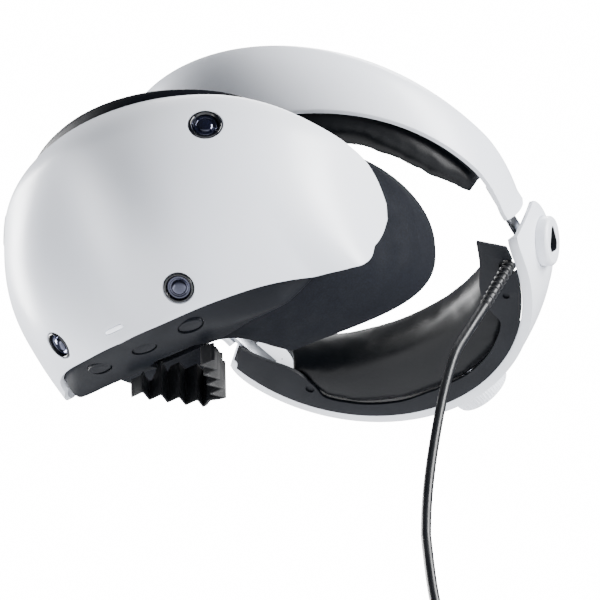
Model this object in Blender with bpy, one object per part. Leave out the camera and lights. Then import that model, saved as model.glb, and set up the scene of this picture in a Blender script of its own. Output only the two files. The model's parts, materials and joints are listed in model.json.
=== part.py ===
"""A head-worn display with a halo band. Units below are millimetres; meshes are written in metres.
X points to the wearer's left, Y to the back, Z up. The origin is the middle of the wearer's head."""
import math

import bmesh
import bpy
import numpy as np
from mathutils import Matrix, Vector

for old in list(bpy.data.objects):
    bpy.data.objects.remove(old, do_unlink=True)

# ---- driving sizes ----
GAP = 0.3
WALL = 2.4
PLATE_A, PLATE_B, PLATE_Y = 99.7, 97.3, -82.6
PLATE_END = 104.5
TILT = math.radians(25.77)
CT, ST = math.cos(TILT), math.sin(TILT)
BAND_V, BAND_END = -3.7, 100.5
REAR_A, REAR_B, REAR_V = 101.0, 95.0, 7.8
REAR_LOW, REAR_TOP, REAR_END = 44.5, 85.0, 80.5
HUB = (67.5, 71.5)
DIAL_N, DIAL_R = 76.0, 17.0
EYE_X, EYE_Z, BARREL_R, LENS_TRAVEL = 31.0, 2.0, 24.5, 3.5
RAIL_X, RAIL_Z = 18.0, 60.5
BUTTON_X, BUTTON_Y = 30.0, -124.6
CORD_R, COIL_R, COIL_TUBE = 2.5, 34.0, 12.0
MATERIALS = {}


def material(name, colour, roughness, metallic=0.0):
    if name not in MATERIALS:
        mat = bpy.data.materials.new(name)
        mat.use_nodes = True
        shader = mat.node_tree.nodes["Principled BSDF"]
        shader.inputs["Base Color"].default_value = (*colour, 1.0)
        shader.inputs["Roughness"].default_value = roughness
        shader.inputs["Metallic"].default_value = metallic
        MATERIALS[name] = mat
    return MATERIALS[name]


WHITE = (0.80, 0.82, 0.88)
DARK = (0.025, 0.030, 0.042)
BLACK = (0.012, 0.013, 0.018)


def finish(name, verts, faces, colour, roughness, origin=(0, 0, 0), metallic=0.0):
    """One closed body from points in mm; faces are turned outward."""
    origin = Vector(origin)
    mesh = bpy.data.meshes.new(name)
    mesh.from_pydata([(Vector(v) - origin) * 0.001 for v in verts], [], faces)
    work = bmesh.new()
    work.from_mesh(mesh)
    bmesh.ops.remove_doubles(work, verts=work.verts, dist=1e-6)
    bmesh.ops.recalc_face_normals(work, faces=work.faces)
    if work.calc_volume(signed=True) < 0:
        bmesh.ops.reverse_faces(work, faces=work.faces)
    work.to_mesh(mesh)
    work.free()
    mesh.shade_smooth()
    mesh.set_sharp_from_angle(angle=math.radians(35))
    mesh.materials.append(material(name + "_mat", colour, roughness, metallic))
    obj = bpy.data.objects.new(name, mesh)
    obj.location = origin * 0.001
    bpy.context.collection.objects.link(obj)
    return obj


def skin(name, outer, inner, colour, roughness, closed=False, origin=(0, 0, 0)):
    """A thick plate between two point grids of the same shape; closed joins the first row to the last."""
    rows, cols = outer.shape[:2]
    verts = list(outer.reshape(-1, 3)) + list(inner.reshape(-1, 3))
    count = rows * cols
    faces = []
    last = rows if closed else rows - 1
    for i in range(last):
        a, b = i * cols, ((i + 1) % rows) * cols
        for j in range(cols - 1):
            faces.append((a + j, a + j + 1, b + j + 1, b + j))
            faces.append((count + a + j, count + b + j, count + b + j + 1, count + a + j + 1))
        for j in (0, cols - 1):
            faces.append((a + j, b + j, count + b + j, count + a + j))
    if not closed:
        for i in (0, rows - 1):
            a = i * cols
            for j in range(cols - 1):
                faces.append((a + j, a + j + 1, count + a + j + 1, count + a + j))
    return finish(name, verts, faces, colour, roughness, origin)


def ring_solid(name, sections, colour, roughness, origin=(0, 0, 0), closed=False):
    """A solid swept through closed cross-sections, capped at both ends unless closed."""
    rows, cols = sections.shape[:2]
    faces = []
    for i in range(rows if closed else rows - 1):
        a, b = i * cols, ((i + 1) % rows) * cols
        for j in range(cols):
            k = (j + 1) % cols
            faces.append((a + j, a + k, b + k, b + j))
    if not closed:
        faces.append(tuple(range(cols)))
        faces.append(tuple(range((rows - 1) * cols, rows * cols)))
    return finish(name, list(sections.reshape(-1, 3)), faces, colour, roughness, origin)


def frame_of(axis):
    axis = Vector(axis).normalized()
    side = axis.orthogonal().normalized()
    return side, axis.cross(side), axis


def turned(name, profile, centre, axis, colour, roughness, steps=32, origin=None, metallic=0.0, loop=False):
    """A turned piece; profile is (radius, height along the axis). loop closes the profile into a ring."""
    side, up, axis = frame_of(axis)
    centre = Vector(centre)
    verts, rows = [], []
    for radius, height in profile:
        if radius < 1e-6:
            rows.append([len(verts)] * steps)
            verts.append(centre + axis * height)
            continue
        rows.append(list(range(len(verts), len(verts) + steps)))
        for k in range(steps):
            turn = 2 * math.pi * k / steps
            verts.append(centre + axis * height + radius * (side * math.cos(turn) + up * math.sin(turn)))
    faces = []
    pairs = list(zip(rows, rows[1:])) + ([(rows[-1], rows[0])] if loop else [])
    for low, high in pairs:
        for k in range(steps):
            m = (k + 1) % steps
            corner = [low[k], low[m], high[m], high[k]]
            corner = [c for n, c in enumerate(corner) if c not in corner[:n]]
            if len(corner) > 2:
                faces.append(tuple(corner))
    return finish(name, verts, faces, colour, roughness, centre if origin is None else origin, metallic)


def prism(name, outline, centre, side, up, depth, colour, roughness, origin=None, metallic=0.0):
    """A flat outline pushed along side x up by depth; centre is the middle of its first face."""
    side, up, centre = Vector(side).normalized(), Vector(up).normalized(), Vector(centre)
    axis = side.cross(up)
    count = len(outline)
    verts = [centre + side * x + up * y for x, y in outline]
    verts += [v + axis * depth for v in verts]
    faces = [tuple(range(count)), tuple(range(count, 2 * count))]
    faces += [(k, (k + 1) % count, count + (k + 1) % count, count + k) for k in range(count)]
    return finish(name, verts, faces, colour, roughness, centre if origin is None else origin, metallic)


def oval(half_x, half_y, count=28, power=2.0):
    turns = [2 * math.pi * k / count for k in range(count)]
    return [(half_x * math.copysign(abs(math.cos(t)) ** (2 / power), math.cos(t)),
             half_y * math.copysign(abs(math.sin(t)) ** (2 / power), math.sin(t))) for t in turns]


def block(name, low, high, colour, roughness, origin=None, metallic=0.0):
    low, high = Vector(low), Vector(high)
    verts = [Vector((x, y, z)) for x in (low.x, high.x) for y in (low.y, high.y) for z in (low.z, high.z)]
    faces = [(0, 1, 3, 2), (4, 5, 7, 6), (0, 1, 5, 4), (2, 3, 7, 6), (0, 2, 6, 4), (1, 3, 7, 5)]
    return finish(name, verts, faces, colour, roughness, (low + high) / 2 if origin is None else origin, metallic)


def cut(obj, *cutters, join=False):
    for tool in cutters:
        step = obj.modifiers.new("cut", "BOOLEAN")
        step.operation = "UNION" if join else "DIFFERENCE"
        step.solver = "EXACT"
        step.object = tool
    bpy.context.view_layer.update()
    graph = bpy.context.evaluated_depsgraph_get()
    made = bpy.data.meshes.new_from_object(obj.evaluated_get(graph))
    obj.modifiers.clear()
    old = obj.data
    obj.data = made
    made.name = old.name + "_cut"
    keep = old.materials[0]
    made.materials.clear()
    made.materials.append(keep)
    for face in made.polygons:
        face.material_index = 0
    for tool in cutters:
        data = tool.data
        bpy.data.objects.remove(tool, do_unlink=True)
        bpy.data.meshes.remove(data)
    made.shade_smooth()
    made.set_sharp_from_angle(angle=math.radians(35))
    return obj


def halo(x, v, n):
    """A place in the band's own tilted frame: v runs back along the band, n stands square to it."""
    return np.stack([x + 0 * v + 0 * n, v * CT + n * ST + 0 * x, -v * ST + n * CT + 0 * x], axis=-1)


def spline(at, xs, ys):
    """Smooth curve through a few control values."""
    xs, ys = np.array(xs, float), np.array(ys, float)
    slope = np.gradient(ys, xs)
    at = np.clip(at, xs[0], xs[-1])
    k = np.clip(np.searchsorted(xs, at, side="right") - 1, 0, len(xs) - 2)
    width = xs[k + 1] - xs[k]
    t = (at - xs[k]) / width
    return ((2 * t**3 - 3 * t**2 + 1) * ys[k] + (t**3 - 2 * t**2 + t) * width * slope[k]
            + (-2 * t**3 + 3 * t**2) * ys[k + 1] + (t**3 - t**2) * width * slope[k + 1])


# ---- the visor's plate ----
def plate_top(theta):
    return spline(np.abs(theta), [0, 30, 50, 62, 75, 88, 96, 101, PLATE_END],
                  [50.7, 50, 47, 42.5, 36, 30.5, 25.5, 19, 12])


def plate_low(theta):
    return spline(np.abs(theta), [0, 14, 30, 45, 58, 72, 84, 92, 98, 102, PLATE_END],
                  [-57, -55.2, -49.0, -42.0, -37.2, -33.6, -29.3, -23, -14, -4.5, 3.5])


def plate_point(theta, z, inset=0.0):
    turn = np.radians(theta)
    top = 12.3 * (np.clip(z - 25, 0, None) / 25.7) ** 2
    x = (PLATE_A - 0.6 * top - inset) * np.sin(turn)
    y = PLATE_Y - (PLATE_B - top - inset) * np.cos(turn)
    tuck = 38.9 * (1 - np.clip((np.abs(theta) - 56) / 40, 0, 1) ** 1.2)
    power = 1.4 + 1.9 * np.clip(np.abs(theta) / 26, 0, 1)
    under = (np.clip(30 - z, 0, None) / (30 - plate_low(theta))) ** power
    y = y + tuck * under
    return np.stack([x, y, z + 0 * x], axis=-1)


def plate_normal(theta, z):
    a = plate_point(theta + 0.4, z) - plate_point(theta - 0.4, z)
    b = plate_point(theta, z + 0.4) - plate_point(theta, z - 0.4)
    n = np.cross(a, b)
    return n / np.linalg.norm(n, axis=-1, keepdims=True)


def plate_grid(low, high, depth, rows=35, cols=8, end=PLATE_END):
    theta = np.linspace(-end, end, rows)[:, None] + np.zeros((1, cols))
    t = np.linspace(low, high, cols)[None, :]
    z = plate_low(theta) + t * (plate_top(theta) - plate_low(theta))
    return plate_point(theta, z) - depth * plate_normal(theta, z)


def theta_of(x):
    return math.degrees(math.asin(x / PLATE_A))


front_shell = skin("front_shell", plate_grid(0, 1, 0), plate_grid(0, 1, WALL), WHITE, 0.38)
camera_spots = {
    "upper_left": (theta_of(68.6), 27.0), "upper_right": (-theta_of(68.6), 27.0),
    "lower_left": (theta_of(39.9), -44.0), "lower_right": (-theta_of(39.9), -44.0),
}
cutters = []
for label, (theta, z) in camera_spots.items():
    spot = plate_point(np.array(theta), np.array(z))
    normal = plate_normal(np.array(theta), np.array(z))
    wide = 7.7 if "upper" in label else 6.9
    cutters.append(turned("cut_" + label, [(0, -9), (wide + GAP, -9), (wide + GAP, 6), (0, 6)], spot, normal, DARK, 0.5,
                          24))
    turned("camera_bezel_" + label,
           [(0, -6), (wide, -6), (wide, 0.3), (wide - 0.8, 0.3), (6.0, -0.7), (6.0, -4), (0, -4)],
              spot, normal, DARK, 0.35, 24)
    turned("camera_lens_" + label,
           [(0, -3.7), (5.7, -3.7), (5.7, -1.6), (4.2, -0.8), (2.2, -0.35), (0, -0.2)],
           spot, normal, BLACK, 0.05, 20)
led = plate_point(np.array(0.0), np.array(-51.0))
led_out = plate_normal(np.array(0.0), np.array(-51.0))
led_up = np.cross(led_out, (1, 0, 0))
cutters.append(prism("cut_led", oval(5.6, 1.25, 24, 4), led + 4 * led_out, (1, 0, 0), led_up, -9, DARK, 0.5))
cut(front_shell, *cutters)
status_light = prism("status_light", oval(5.3, 0.95, 24, 4), led + 0.1 * led_out, (1, 0, 0), led_up, 2.2,
                     (0.9, 0.93, 1.0), 0.3)


# ---- top cover and lower housing close the visor behind the plate ----
def rim(alpha, half_x=86.0, half_z=50.0, y=-96.0):
    turn = np.radians(alpha)
    x = half_x * np.sign(np.sin(turn)) * np.abs(np.sin(turn)) ** 0.85
    z = 3.0 + half_z * np.sign(np.cos(turn)) * np.abs(np.cos(turn)) ** 0.8
    return np.stack([x, y + 12.0 * (np.abs(x) / half_x) ** 4, z], axis=-1)


def lid(low, depth):
    """Grid from just inside the plate's edge back to the face rim; low picks the underside."""
    rows, cols = 25, 7
    end = 58.0 if low else 75.0
    theta = np.linspace(-end, end, rows)[:, None] + np.zeros((1, cols))
    s = np.linspace(0, 1, cols)[None, :] ** (1.0 if low else 1.5)
    edge_z = plate_low(theta) + 1.2 if low else plate_top(theta) - 1.2
    start = plate_point(theta, edge_z) - (WALL + (1.2 if low else 1.5)) * plate_normal(theta, edge_z)
    alpha = (180 - theta * 1.02) if low else theta * 1.02
    stop = rim(alpha)
    mid = start + (stop - start) * s[..., None]
    if low:
        fade = np.clip((end - np.abs(theta)) / 12, 0, 1) ** 0.6
        mid[..., 2] += -(3.0 + 8.5 * np.sin(np.radians(2 * theta)) ** 2 * fade) * np.sin(math.pi * s) + depth
    else:
        swell = 16.5 * (1 - (1 - s) ** 2) * np.cos(np.radians(theta)) ** 0.7
        lip = 7.8 * np.clip(s * 14, 0, 1) * np.clip(1 - (theta / 48) ** 2, 0, 1) * (1 - s)
        mid[..., 2] += swell + lip - depth
    return mid


lower_housing = skin("lower_housing", lid(True, 0.0), lid(True, WALL), DARK, 0.55)
top_cover = skin("top_cover", lid(False, 0.0), lid(False, WALL), BLACK, 0.5)


def lid_height(x, y, low):
    grid = lid(low, 0.0).reshape(-1, 3)
    near = np.argsort((grid[:, 0] - x) ** 2 + (grid[:, 1] - y) ** 2)[:4]
    return float(grid[near, 2].mean())


down = ((1, 0, 0), (0, -1, 0))
floor_z = lid_height(0, BUTTON_Y, True)
nose = [(-21, 40), (-21, 4), (-15, -8), (0, -13), (15, -8), (21, 4), (21, 40)]
nose_cut = prism("cut_nose", [(x, -y) for x, y in nose], (0, -98, -30), *down, 60, DARK, 0.5)
button_cuts = [prism("cut_%d" % x, oval(7.3, 4.3, 20), (x, BUTTON_Y, -36), *down, 40, DARK, 0.5)
               for x in (-BUTTON_X, 0, BUTTON_X)]
cut(lower_housing, nose_cut, *button_cuts)
for label, x in (("function_button", BUTTON_X), ("power_button", 0), ("microphone_cap", -BUTTON_X)):
    z = lid_height(x, BUTTON_Y, True)
    sunk = 0.8 if label == "power_button" else 0.2
    prism(label, oval(6.95, 3.95, 20), (x, BUTTON_Y, z + sunk + 3.5), *down, 3.5, DARK, 0.45)

# ---- inside the visor ----
inner_frame = prism("inner_frame", oval(78, 42, 40, 2.6), (0, -107, 3), (1, 0, 0), (0, 0, 1), -2.5, DARK, 0.6)
frame_cuts = [turned("cut_eye", [(0, -6), (28.6, -6), (28.6, 6), (0, 6)], (x, -106, EYE_Z), (0, 1, 0), DARK, 0.5,
                     28) for x in (EYE_X, -EYE_X)]
cut(inner_frame, *frame_cuts)
for label, side in (("left", 1), ("right", -1)):
    spot = (side * EYE_X, -98, EYE_Z)
    turned("lens_barrel_" + label,
           [(BARREL_R - 2.2, -20), (BARREL_R, -20), (BARREL_R, 14), (BARREL_R - 1.2, 16), (BARREL_R - 2.2, 16)],
           spot, (0, 1, 0), DARK, 0.5, 28, loop=True)
    turned("eye_lens_" + label,
           [(0, 6), (14, 7), (22.0, 9.5), (22.0, 11.5), (16, 13.6), (8, 14.7), (0, 15)],
           spot, (0, 1, 0), (0.6, 0.65, 0.7), 0.05, 28)
    block("display_panel_" + label, (side * EYE_X - 21, -120.3, EYE_Z - 20),
          (side * EYE_X + 21, -118.3, EYE_Z + 20), BLACK, 0.2)
block("main_board", (-52, -129, -26), (52, -127.4, 30), (0.02, 0.12, 0.06), 0.5)
comb = [(-32, 0)]
for k in range(11):
    comb += [(-32 + 6 * k, -9), (-30.6 + 6 * k, -9), (-30.6 + 6 * k, -1.8), (-26 + 6 * k, -1.8)]
comb = comb[:-1] + [(32, -1.8), (32, 0)]
prism("heat_sink", comb, (0, -129.3, 12), (1, 0, 0), (0, 1, 0), -24, (0.6, 0.6, 0.62), 0.4, metallic=1.0)
fan_spot = (0, -152, 18)
turned("fan_housing", [(17.4, -6), (19.4, -6), (19.4, 6), (17.4, 6)], fan_spot, (0, 1, 0), DARK, 0.5, 28, loop=True)
fan = turned("fan_rotor", [(0, -5), (6, -5), (6, 5), (0, 5)], fan_spot, (0, 1, 0), DARK, 0.5, 16)
blades = []
for k in range(7):
    turn = 2 * math.pi * k / 7
    out = Vector((math.cos(turn), 0, math.sin(turn)))
    across = Vector((-math.sin(turn), 0, math.cos(turn)))
    lean = (across * 0.8 + Vector((0, 1, 0)) * 0.6).normalized()
    place = Vector(fan_spot) + out * 5 - lean * 4.5
    blades.append(prism("blade", [(0, 0), (11.6, 0), (11.6, 9), (0, 9)], place, out, lean, 0.9, DARK, 0.5))
cut(fan, *blades, join=True)
turned("vibration_motor", [(0, -8), (4.5, -8), (4.5, 8), (0, 8)], (0, -112, 48.5), (1, 0, 0), (0.6, 0.6, 0.62),
       0.35, 20, metallic=1.0)

# ---- light shield round the face opening ----
def shield_edge(alpha):
    turn = np.radians(alpha)
    upper = np.cos(turn) > 0
    x = 79.5 * np.sign(np.sin(turn)) * np.abs(np.sin(turn)) ** np.where(upper, 0.45, 0.9)
    z = 17.0 + np.where(upper, 47.5, 57.0) * np.sign(np.cos(turn)) * np.abs(np.cos(turn)) ** np.where(upper, 0.5, 0.8)
    y = -53 + 53 * (np.abs(x) / 80) ** 2.1 - np.where(z > 20, 0.022, 0.003) * (z - 20) ** 2 * (np.abs(x) / 80)
    arch = np.clip(1 - (np.abs(x) / 26) ** 2, 0, 1) * (np.cos(turn) < 0)
    dip = 11 * np.clip(1 - (x / 60) ** 2, 0, 1) * upper
    return np.stack([x, y - 26 * arch, z + 13 * arch - dip], axis=-1)


def shield_grid(depth, rows=44, cols=5):
    alpha = np.linspace(0, 360, rows, endpoint=False)[:, None] + np.zeros((1, cols))
    s = np.linspace(0, 1, cols)[None, :]
    front, back = rim(alpha, 83.0, 46.0, -92.0), shield_edge(alpha)
    centre = np.array([0, 0, 5.0])
    path = front + (back - front) * s[..., None]
    wide = (1 + 0.05 * np.sin(math.pi * s ** 1.3))[..., None] - depth / 75.0
    flat = path.copy()
    flat[..., 0] = path[..., 0] * wide[..., 0]
    flat[..., 2] = centre[2] + (path[..., 2] - centre[2]) * (wide[..., 0] - depth / 110.0)
    return flat


light_shield = skin("light_shield", shield_grid(0.0), shield_grid(2.6), (0.03, 0.034, 0.045), 0.85, closed=True)

# ---- pleated nose flap ----
def flap_line(offset):
    """Zigzag run from the wide front of the nose opening to its narrow back and out again."""
    run = []
    legs = [((-25.0, -108.0), (-5.0, -79.0)), ((-5.0, -79.0), (5.0, -79.0)), ((5.0, -79.0), (25.0, -108.0))]
    for count, (a, b) in zip((8, 2, 8), legs):
        a, b = np.array(a), np.array(b)
        side = np.array([(b - a)[1], -(b - a)[0]]) / np.linalg.norm(b - a)
        for k in range(count + (count == 8 and a[0] > 0)):
            fold = 3.4 if k % 2 else -3.4
            run.append(a + (b - a) * k / count + side * (fold * (0.35 if count == 2 else 1.0) + offset))
    return np.array(run)


tall = np.linspace(0, 1, 3)[None, :]


def flap_grid(line):
    top = -54.0 + 8.0 * np.clip((20.0 - np.abs(line[:, 0:1])) / 5.0, 0, 1)
    z = top + (-63.0 - 3.0 * (108 + line[:, 1:2]) / 33 - top) * tall
    return np.stack([line[:, 0:1] + 0 * tall, line[:, 1:2] + 0 * tall, z], axis=-1)


nose_flap = skin("nose_flap", flap_grid(flap_line(0.0)), flap_grid(flap_line(1.3)), BLACK, 0.8)

# ---- rail between band and visor ----
rails = [block("rail", (x - 3, -132, RAIL_Z - 1.6), (x + 3, -90, RAIL_Z + 1.6), (0.6, 0.6, 0.62), 0.35, (0, 0, 0))
         for x in (-RAIL_X, RAIL_X)]
bar = block("slide_rail", (-RAIL_X - 5, -95, RAIL_Z - 1.6), (RAIL_X + 5, -89.5, 75.0), (0.6, 0.6, 0.62), 0.35, (0, 0, 0),
            metallic=1.0)
cut(bar, *rails, join=True)
sleeve = block("rail_sleeve", (-RAIL_X - 6, -109.5, RAIL_Z - 4.2), (RAIL_X + 6, -97.5, RAIL_Z + 3.6), DARK, 0.5,
               (0, 0, 0))
cut(sleeve, *[block("cut", (x - 3.3, -120, RAIL_Z - 1.9), (x + 3.3, -90, RAIL_Z + 1.9), DARK, 0.5)
              for x in (-RAIL_X, RAIL_X)])

# ---- controls on top of the visor ----
release_spot = (-50, -128)
dial_spot = (46, -122)
up = ((1, 0, 0), (0, 1, 0))
cut(top_cover,
    prism("cut_release", oval(7.3, 4.3), (*release_spot, 40), *up, 40, DARK, 0.5),
    turned("cut_dial", [(0, -20), (7.3, -20), (7.3, 30), (0, 30)], (*dial_spot, 55), (0, 0, 1), DARK, 0.5))
z = lid_height(*release_spot, False)
prism("scope_release", oval(6.95, 3.95), (*release_spot, z - 3.4), *up, 4.6, DARK, 0.4)
z = lid_height(*dial_spot, False)
turned("lens_dial", [(0, -4), (6.95, -4), (6.95, 1.2), (6.2, 1.8), (0, 1.8)], (*dial_spot, z), (0, 0, 1), DARK, 0.4)


# ---- front band ----
def band_point(phi, t, depth=0.0):
    turn = np.radians(phi)
    rise = np.sin(turn) ** 2
    low, top = 31 + 24.0 * rise, 67 + 12.0 * rise
    tip = np.clip((np.abs(phi) - 82) / 16, 0, 1)
    n = low + t * (top - low)
    n = n + tip**2 * (68.5 - n) * 0.12
    bulge = np.sin(np.clip(t, 0, 1) * math.pi * 0.62) ** 0.9
    b = 110.6 + 26.5 * bulge - 2.0 * np.clip(t - 0.8, 0, 1) * 12
    a = 104.5 + 2.0 * bulge - 1.5 * np.clip(t - 0.8, 0, 1) - 5.5 * tip**1.5
    spread = 1 + 0.02 * np.sin(2 * turn) ** 2
    return halo((a * spread - depth) * np.sin(turn), BAND_V - (b * spread - depth) * np.cos(turn), n)


def band_grid(depth, low=0.0, high=1.0, end=BAND_END, rows=31, cols=6):
    phi = np.linspace(-end, end, rows)[:, None] + np.zeros((1, cols))
    t = np.linspace(low, high, cols)[None, :] + np.zeros((rows, 1))
    return band_point(phi, t, depth)


band_shell = skin("band_shell", band_grid(0.0), band_grid(WALL), WHITE, 0.38)
band_frame = skin("band_frame", band_grid(WALL + 1.0, 0.08, 0.90, 84, 25, 4), band_grid(WALL + 2.9, 0.08, 0.90, 84, 25, 4),
                  DARK, 0.6)


def pad_section(point, end, rows, thick, low, high, cols=12):
    """A soft bar: closed cross-sections between t=low and t=high, thick towards the head."""
    phi = np.linspace(-end, end, rows)
    full = np.clip(1 - (np.abs(phi) / (end + 0.5)) ** 6, 0.06, 1) ** 0.5
    sections = []
    for angle, scale in zip(phi, full):
        turn = np.linspace(0, 2 * math.pi, cols, endpoint=False)
        across = np.sign(np.cos(turn)) * np.abs(np.cos(turn)) ** 0.6
        deep = np.sign(np.sin(turn)) * np.abs(np.sin(turn)) ** 0.6
        foot = low - 0.17 * min(max((abs(angle) - 48) / 24, 0), 1)
        t = (foot + high) / 2 + (high - foot) / 2 * across * (0.55 + 0.45 * scale)
        sections.append(point(np.full(cols, angle), t, thick * scale * (0.5 + 0.5 * deep)))
    return np.array(sections)


def front_pad_point(phi, t, depth):
    outer = band_point(phi, t, WALL + 4.2 + depth)
    return outer


forehead_pad = ring_solid("forehead_pad", pad_section(front_pad_point, 88, 27, 17.0, -0.16, 0.80), BLACK, 0.45)
for label, side in (("left", 1), ("right", -1)):
    corners = [halo(np.array(side * x), np.array(v), np.array(n))
               for x, v in ((99.3, -4.0), (96.9, -4.0), (89.1, 44.0), (91.5, 44.0)) for n in (60.0, 68.0)]
    finish("band_arm_" + label, corners, [(0, 2, 4, 6), (1, 3, 5, 7), (0, 1, 3, 2), (2, 3, 5, 4), (4, 5, 7, 6),
                                          (6, 7, 1, 0)], (0.6, 0.6, 0.62), 0.35, (0, 0, 0), 1.0)


# ---- rear unit ----
def rear_outer(psi, n, depth=0.0):
    turn = np.radians(psi)
    swell = 3.5 * np.sin(np.clip((n - REAR_LOW) / 40, 0, 1) * math.pi * 0.6) ** 1.2
    reach = swell - depth
    return halo((REAR_A + reach) * np.sin(turn), REAR_V + (REAR_B + reach) * np.cos(turn), n)


def rear_grid(depth, low, high, end, rows=35, cols=6):
    psi = np.linspace(-end, end, rows)[:, None] + np.zeros((1, cols))
    t = np.linspace(0, 1, cols)[None, :]
    ends = np.clip((np.abs(psi) - 62) / (end + 1.5 - 62), 0, 1)
    top = high + 9 * np.cos(np.radians(psi)) ** 4 - 15 * (1 - np.sqrt(1 - ends**3.5))
    foot = low + 9 * (1 - np.sqrt(1 - ends**5))
    return rear_outer(psi, foot + t * (top - foot), depth)


def pad_outer(psi):
    """Plan line where the pad meets the underside frame."""
    a = np.abs(psi)
    x = np.sign(psi) * spline(a, [0, 20, 36, 46, 56, 64, 74, 86], [0, 28, 51, 63, 65, 68, 78, 86.5])
    v = spline(a, [0, 20, 36, 46, 56, 64, 74, 86], [91, 88, 78, 67, 55, 43, 29, 14])
    return x, v


def pad_inner(psi):
    turn = np.radians(psi)
    return 83.5 * np.sin(turn), 13.5 + 39.0 * np.cos(turn)


rear_shell = skin("rear_shell", rear_grid(0, REAR_LOW, REAR_TOP, REAR_END), rear_grid(WALL, REAR_LOW, REAR_TOP, REAR_END),
                  WHITE, 0.38)
rear_out = Vector((0, CT, -ST))
dial_spot = Vector(halo(np.array(0.0), np.array(0.0), np.array(DIAL_N)).tolist())
shaft_cut = turned("cut_shaft", [(0, 85), (3.6, 85), (3.6, 125), (0, 125)], dial_spot, rear_out, DARK, 0.5, 24)
dock_cuts, docks = [], {}
for label, side in (("left", 1), ("right", -1)):
    psi = side * HUB[0]
    spot = Vector(rear_outer(np.array(psi), np.array(HUB[1])).tolist())
    flat = np.array([0.91 * side, 0.415])
    out = Vector(halo(np.array(flat[0]), np.array(flat[1]), np.array(0.0)).tolist())
    docks[label] = (spot, out)
    dock_cuts.append(turned("cut_dock", [(0, -8), (13.3, -8), (13.3, 8), (0, 8)], spot, out, DARK, 0.5, 28))
cut(rear_shell, shaft_cut, *dock_cuts)
for label, (spot, out) in docks.items():
    dock = turned("earbud_dock_" + label, [(0, -3.0), (13, -3.0), (13, 3.6), (11.8, 5.0), (0, 5.0)], spot, out, WHITE,
                  0.38, 28)
    side = Vector((0, -ST, -CT)).cross(out).normalized()
    rise = out.cross(side).normalized()
    corner = []
    for k in range(3):
        centre = math.pi / 2 + 2 * math.pi * k / 3
        for step in (-0.9, -0.45, 0, 0.45, 0.9):
            corner.append((4.2 * math.cos(centre) + 3.4 * math.cos(centre + step),
                           4.2 * math.sin(centre) + 3.4 * math.sin(centre + step)))
    cut(dock, prism("cut_socket", corner, spot - out * 0.8, side, rise, 9, DARK, 0.5))

psi = np.linspace(-84, 84, 41)
ox, ov = pad_outer(psi)
rim_x = (REAR_A - WALL - GAP) * np.sin(np.radians(psi * 79.5 / 84))
rim_v = REAR_V + (REAR_B - WALL - GAP) * np.cos(np.radians(psi * 79.5 / 84))
inward = np.stack([ox - rim_x, ov - rim_v], axis=1)
inward /= np.linalg.norm(inward, axis=1, keepdims=True)
edge = np.stack([ox, ov], axis=1) - inward * 1.0
sections = []
for (x0, v0), (x1, v1) in zip(edge, np.stack([rim_x, rim_v], axis=1)):
    sections.append([halo(np.array(x), np.array(v), np.array(n)).tolist()
                     for x, v, n in ((x0, v0, 43.4), (x1, v1, 43.4), (x1, v1, 46.4), (x0, v0, 46.4))])
rear_cover = ring_solid("rear_cover", np.array(sections), DARK, 0.5)
exit_spot = Vector((88.0, 51.0, 26.2))
relief_end = Vector((80.0, 37.4, -0.4))
lean = (relief_end - exit_spot).normalized()
cut(rear_cover, turned("cut_exit", [(0, -9), (4.6, -9), (4.6, 9), (0, 9)], exit_spot, lean, DARK, 0.5, 20))

psi = 86.0 * np.sin(np.radians(np.linspace(-84, 84, 29)))
sections = []
for angle, (x1, v1) in zip(psi, np.stack(pad_outer(psi), axis=1)):
    x0, v0 = pad_inner(angle)
    thin = (1 - (abs(angle) / 86.0) ** 6) ** 0.5
    rise = 5.0 * min(max((abs(angle) - 58) / 22, 0), 1)
    loop = []
    for k in range(12):
        turn = 2 * math.pi * k / 12
        w, h = math.cos(turn), math.sin(turn)
        power = 0.45 if w > 0 else 0.85
        w = math.copysign(abs(w) ** power, w)
        h = math.copysign(abs(h) ** 0.55, h)
        w = 0.5 + 0.5 * w * thin
        n = 62.5 + rise + (19.0 + 0.5 * rise) * h * (0.3 + 0.7 * thin)
        loop.append(halo(np.array(x0 + (x1 - x0) * w), np.array(v0 + (v1 - v0) * w), np.array(n)).tolist())
    sections.append(loop)
rear_pad = ring_solid("rear_pad", np.array(sections), BLACK, 0.3)

# ---- adjusting dial, its pinion and the release button ----
dial_profile = [(0, 92.5), (3.1, 92.5), (3.1, 108.5), (DIAL_R - 1, 108.5), (DIAL_R, 109.5), (DIAL_R, 117.5),
                (DIAL_R - 1.5, 119.0), (8.3, 119.0), (7.9, 118.6), (7.9, 113.0), (0, 113.0)]
adjust_dial = turned("adjust_dial", dial_profile, dial_spot, rear_out, WHITE, 0.4, 40, origin=dial_spot)
for vert in adjust_dial.data.vertices:
    flat = vert.co - Vector(rear_out) * vert.co.dot(rear_out)
    if flat.length > (DIAL_R - 0.5) * 0.001 and vert.index % 2:
        vert.co -= flat.normalized() * 0.0007
turned("rear_release", [(0, 115.0), (7.5, 115.0), (7.5, 118.8), (6.6, 119.6), (0, 119.6)], dial_spot, rear_out, WHITE,
       0.4, 28, origin=dial_spot)
turned("dial_pinion", [(3.4, 93.5), (8.4, 93.5), (8.4, 100), (3.4, 100)], dial_spot, rear_out, (0.6, 0.6, 0.62), 0.4, 32,
       origin=dial_spot, loop=True)

# ---- cord ----
length = (relief_end - exit_spot).length
profile = [(0, 0.4)]
for k in range(9):
    big = 3.9 - 0.06 * k
    base = 1.0 + k * (length - 2.2) / 9
    profile += [(big - 0.9, base), (big, base + 0.8), (big, base + 2.0)]
profile += [(2.7, length - 0.6), (0, length - 0.6)]
turned("strain_relief", profile, exit_spot, lean, BLACK, 0.35, 12, origin=exit_spot)


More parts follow.
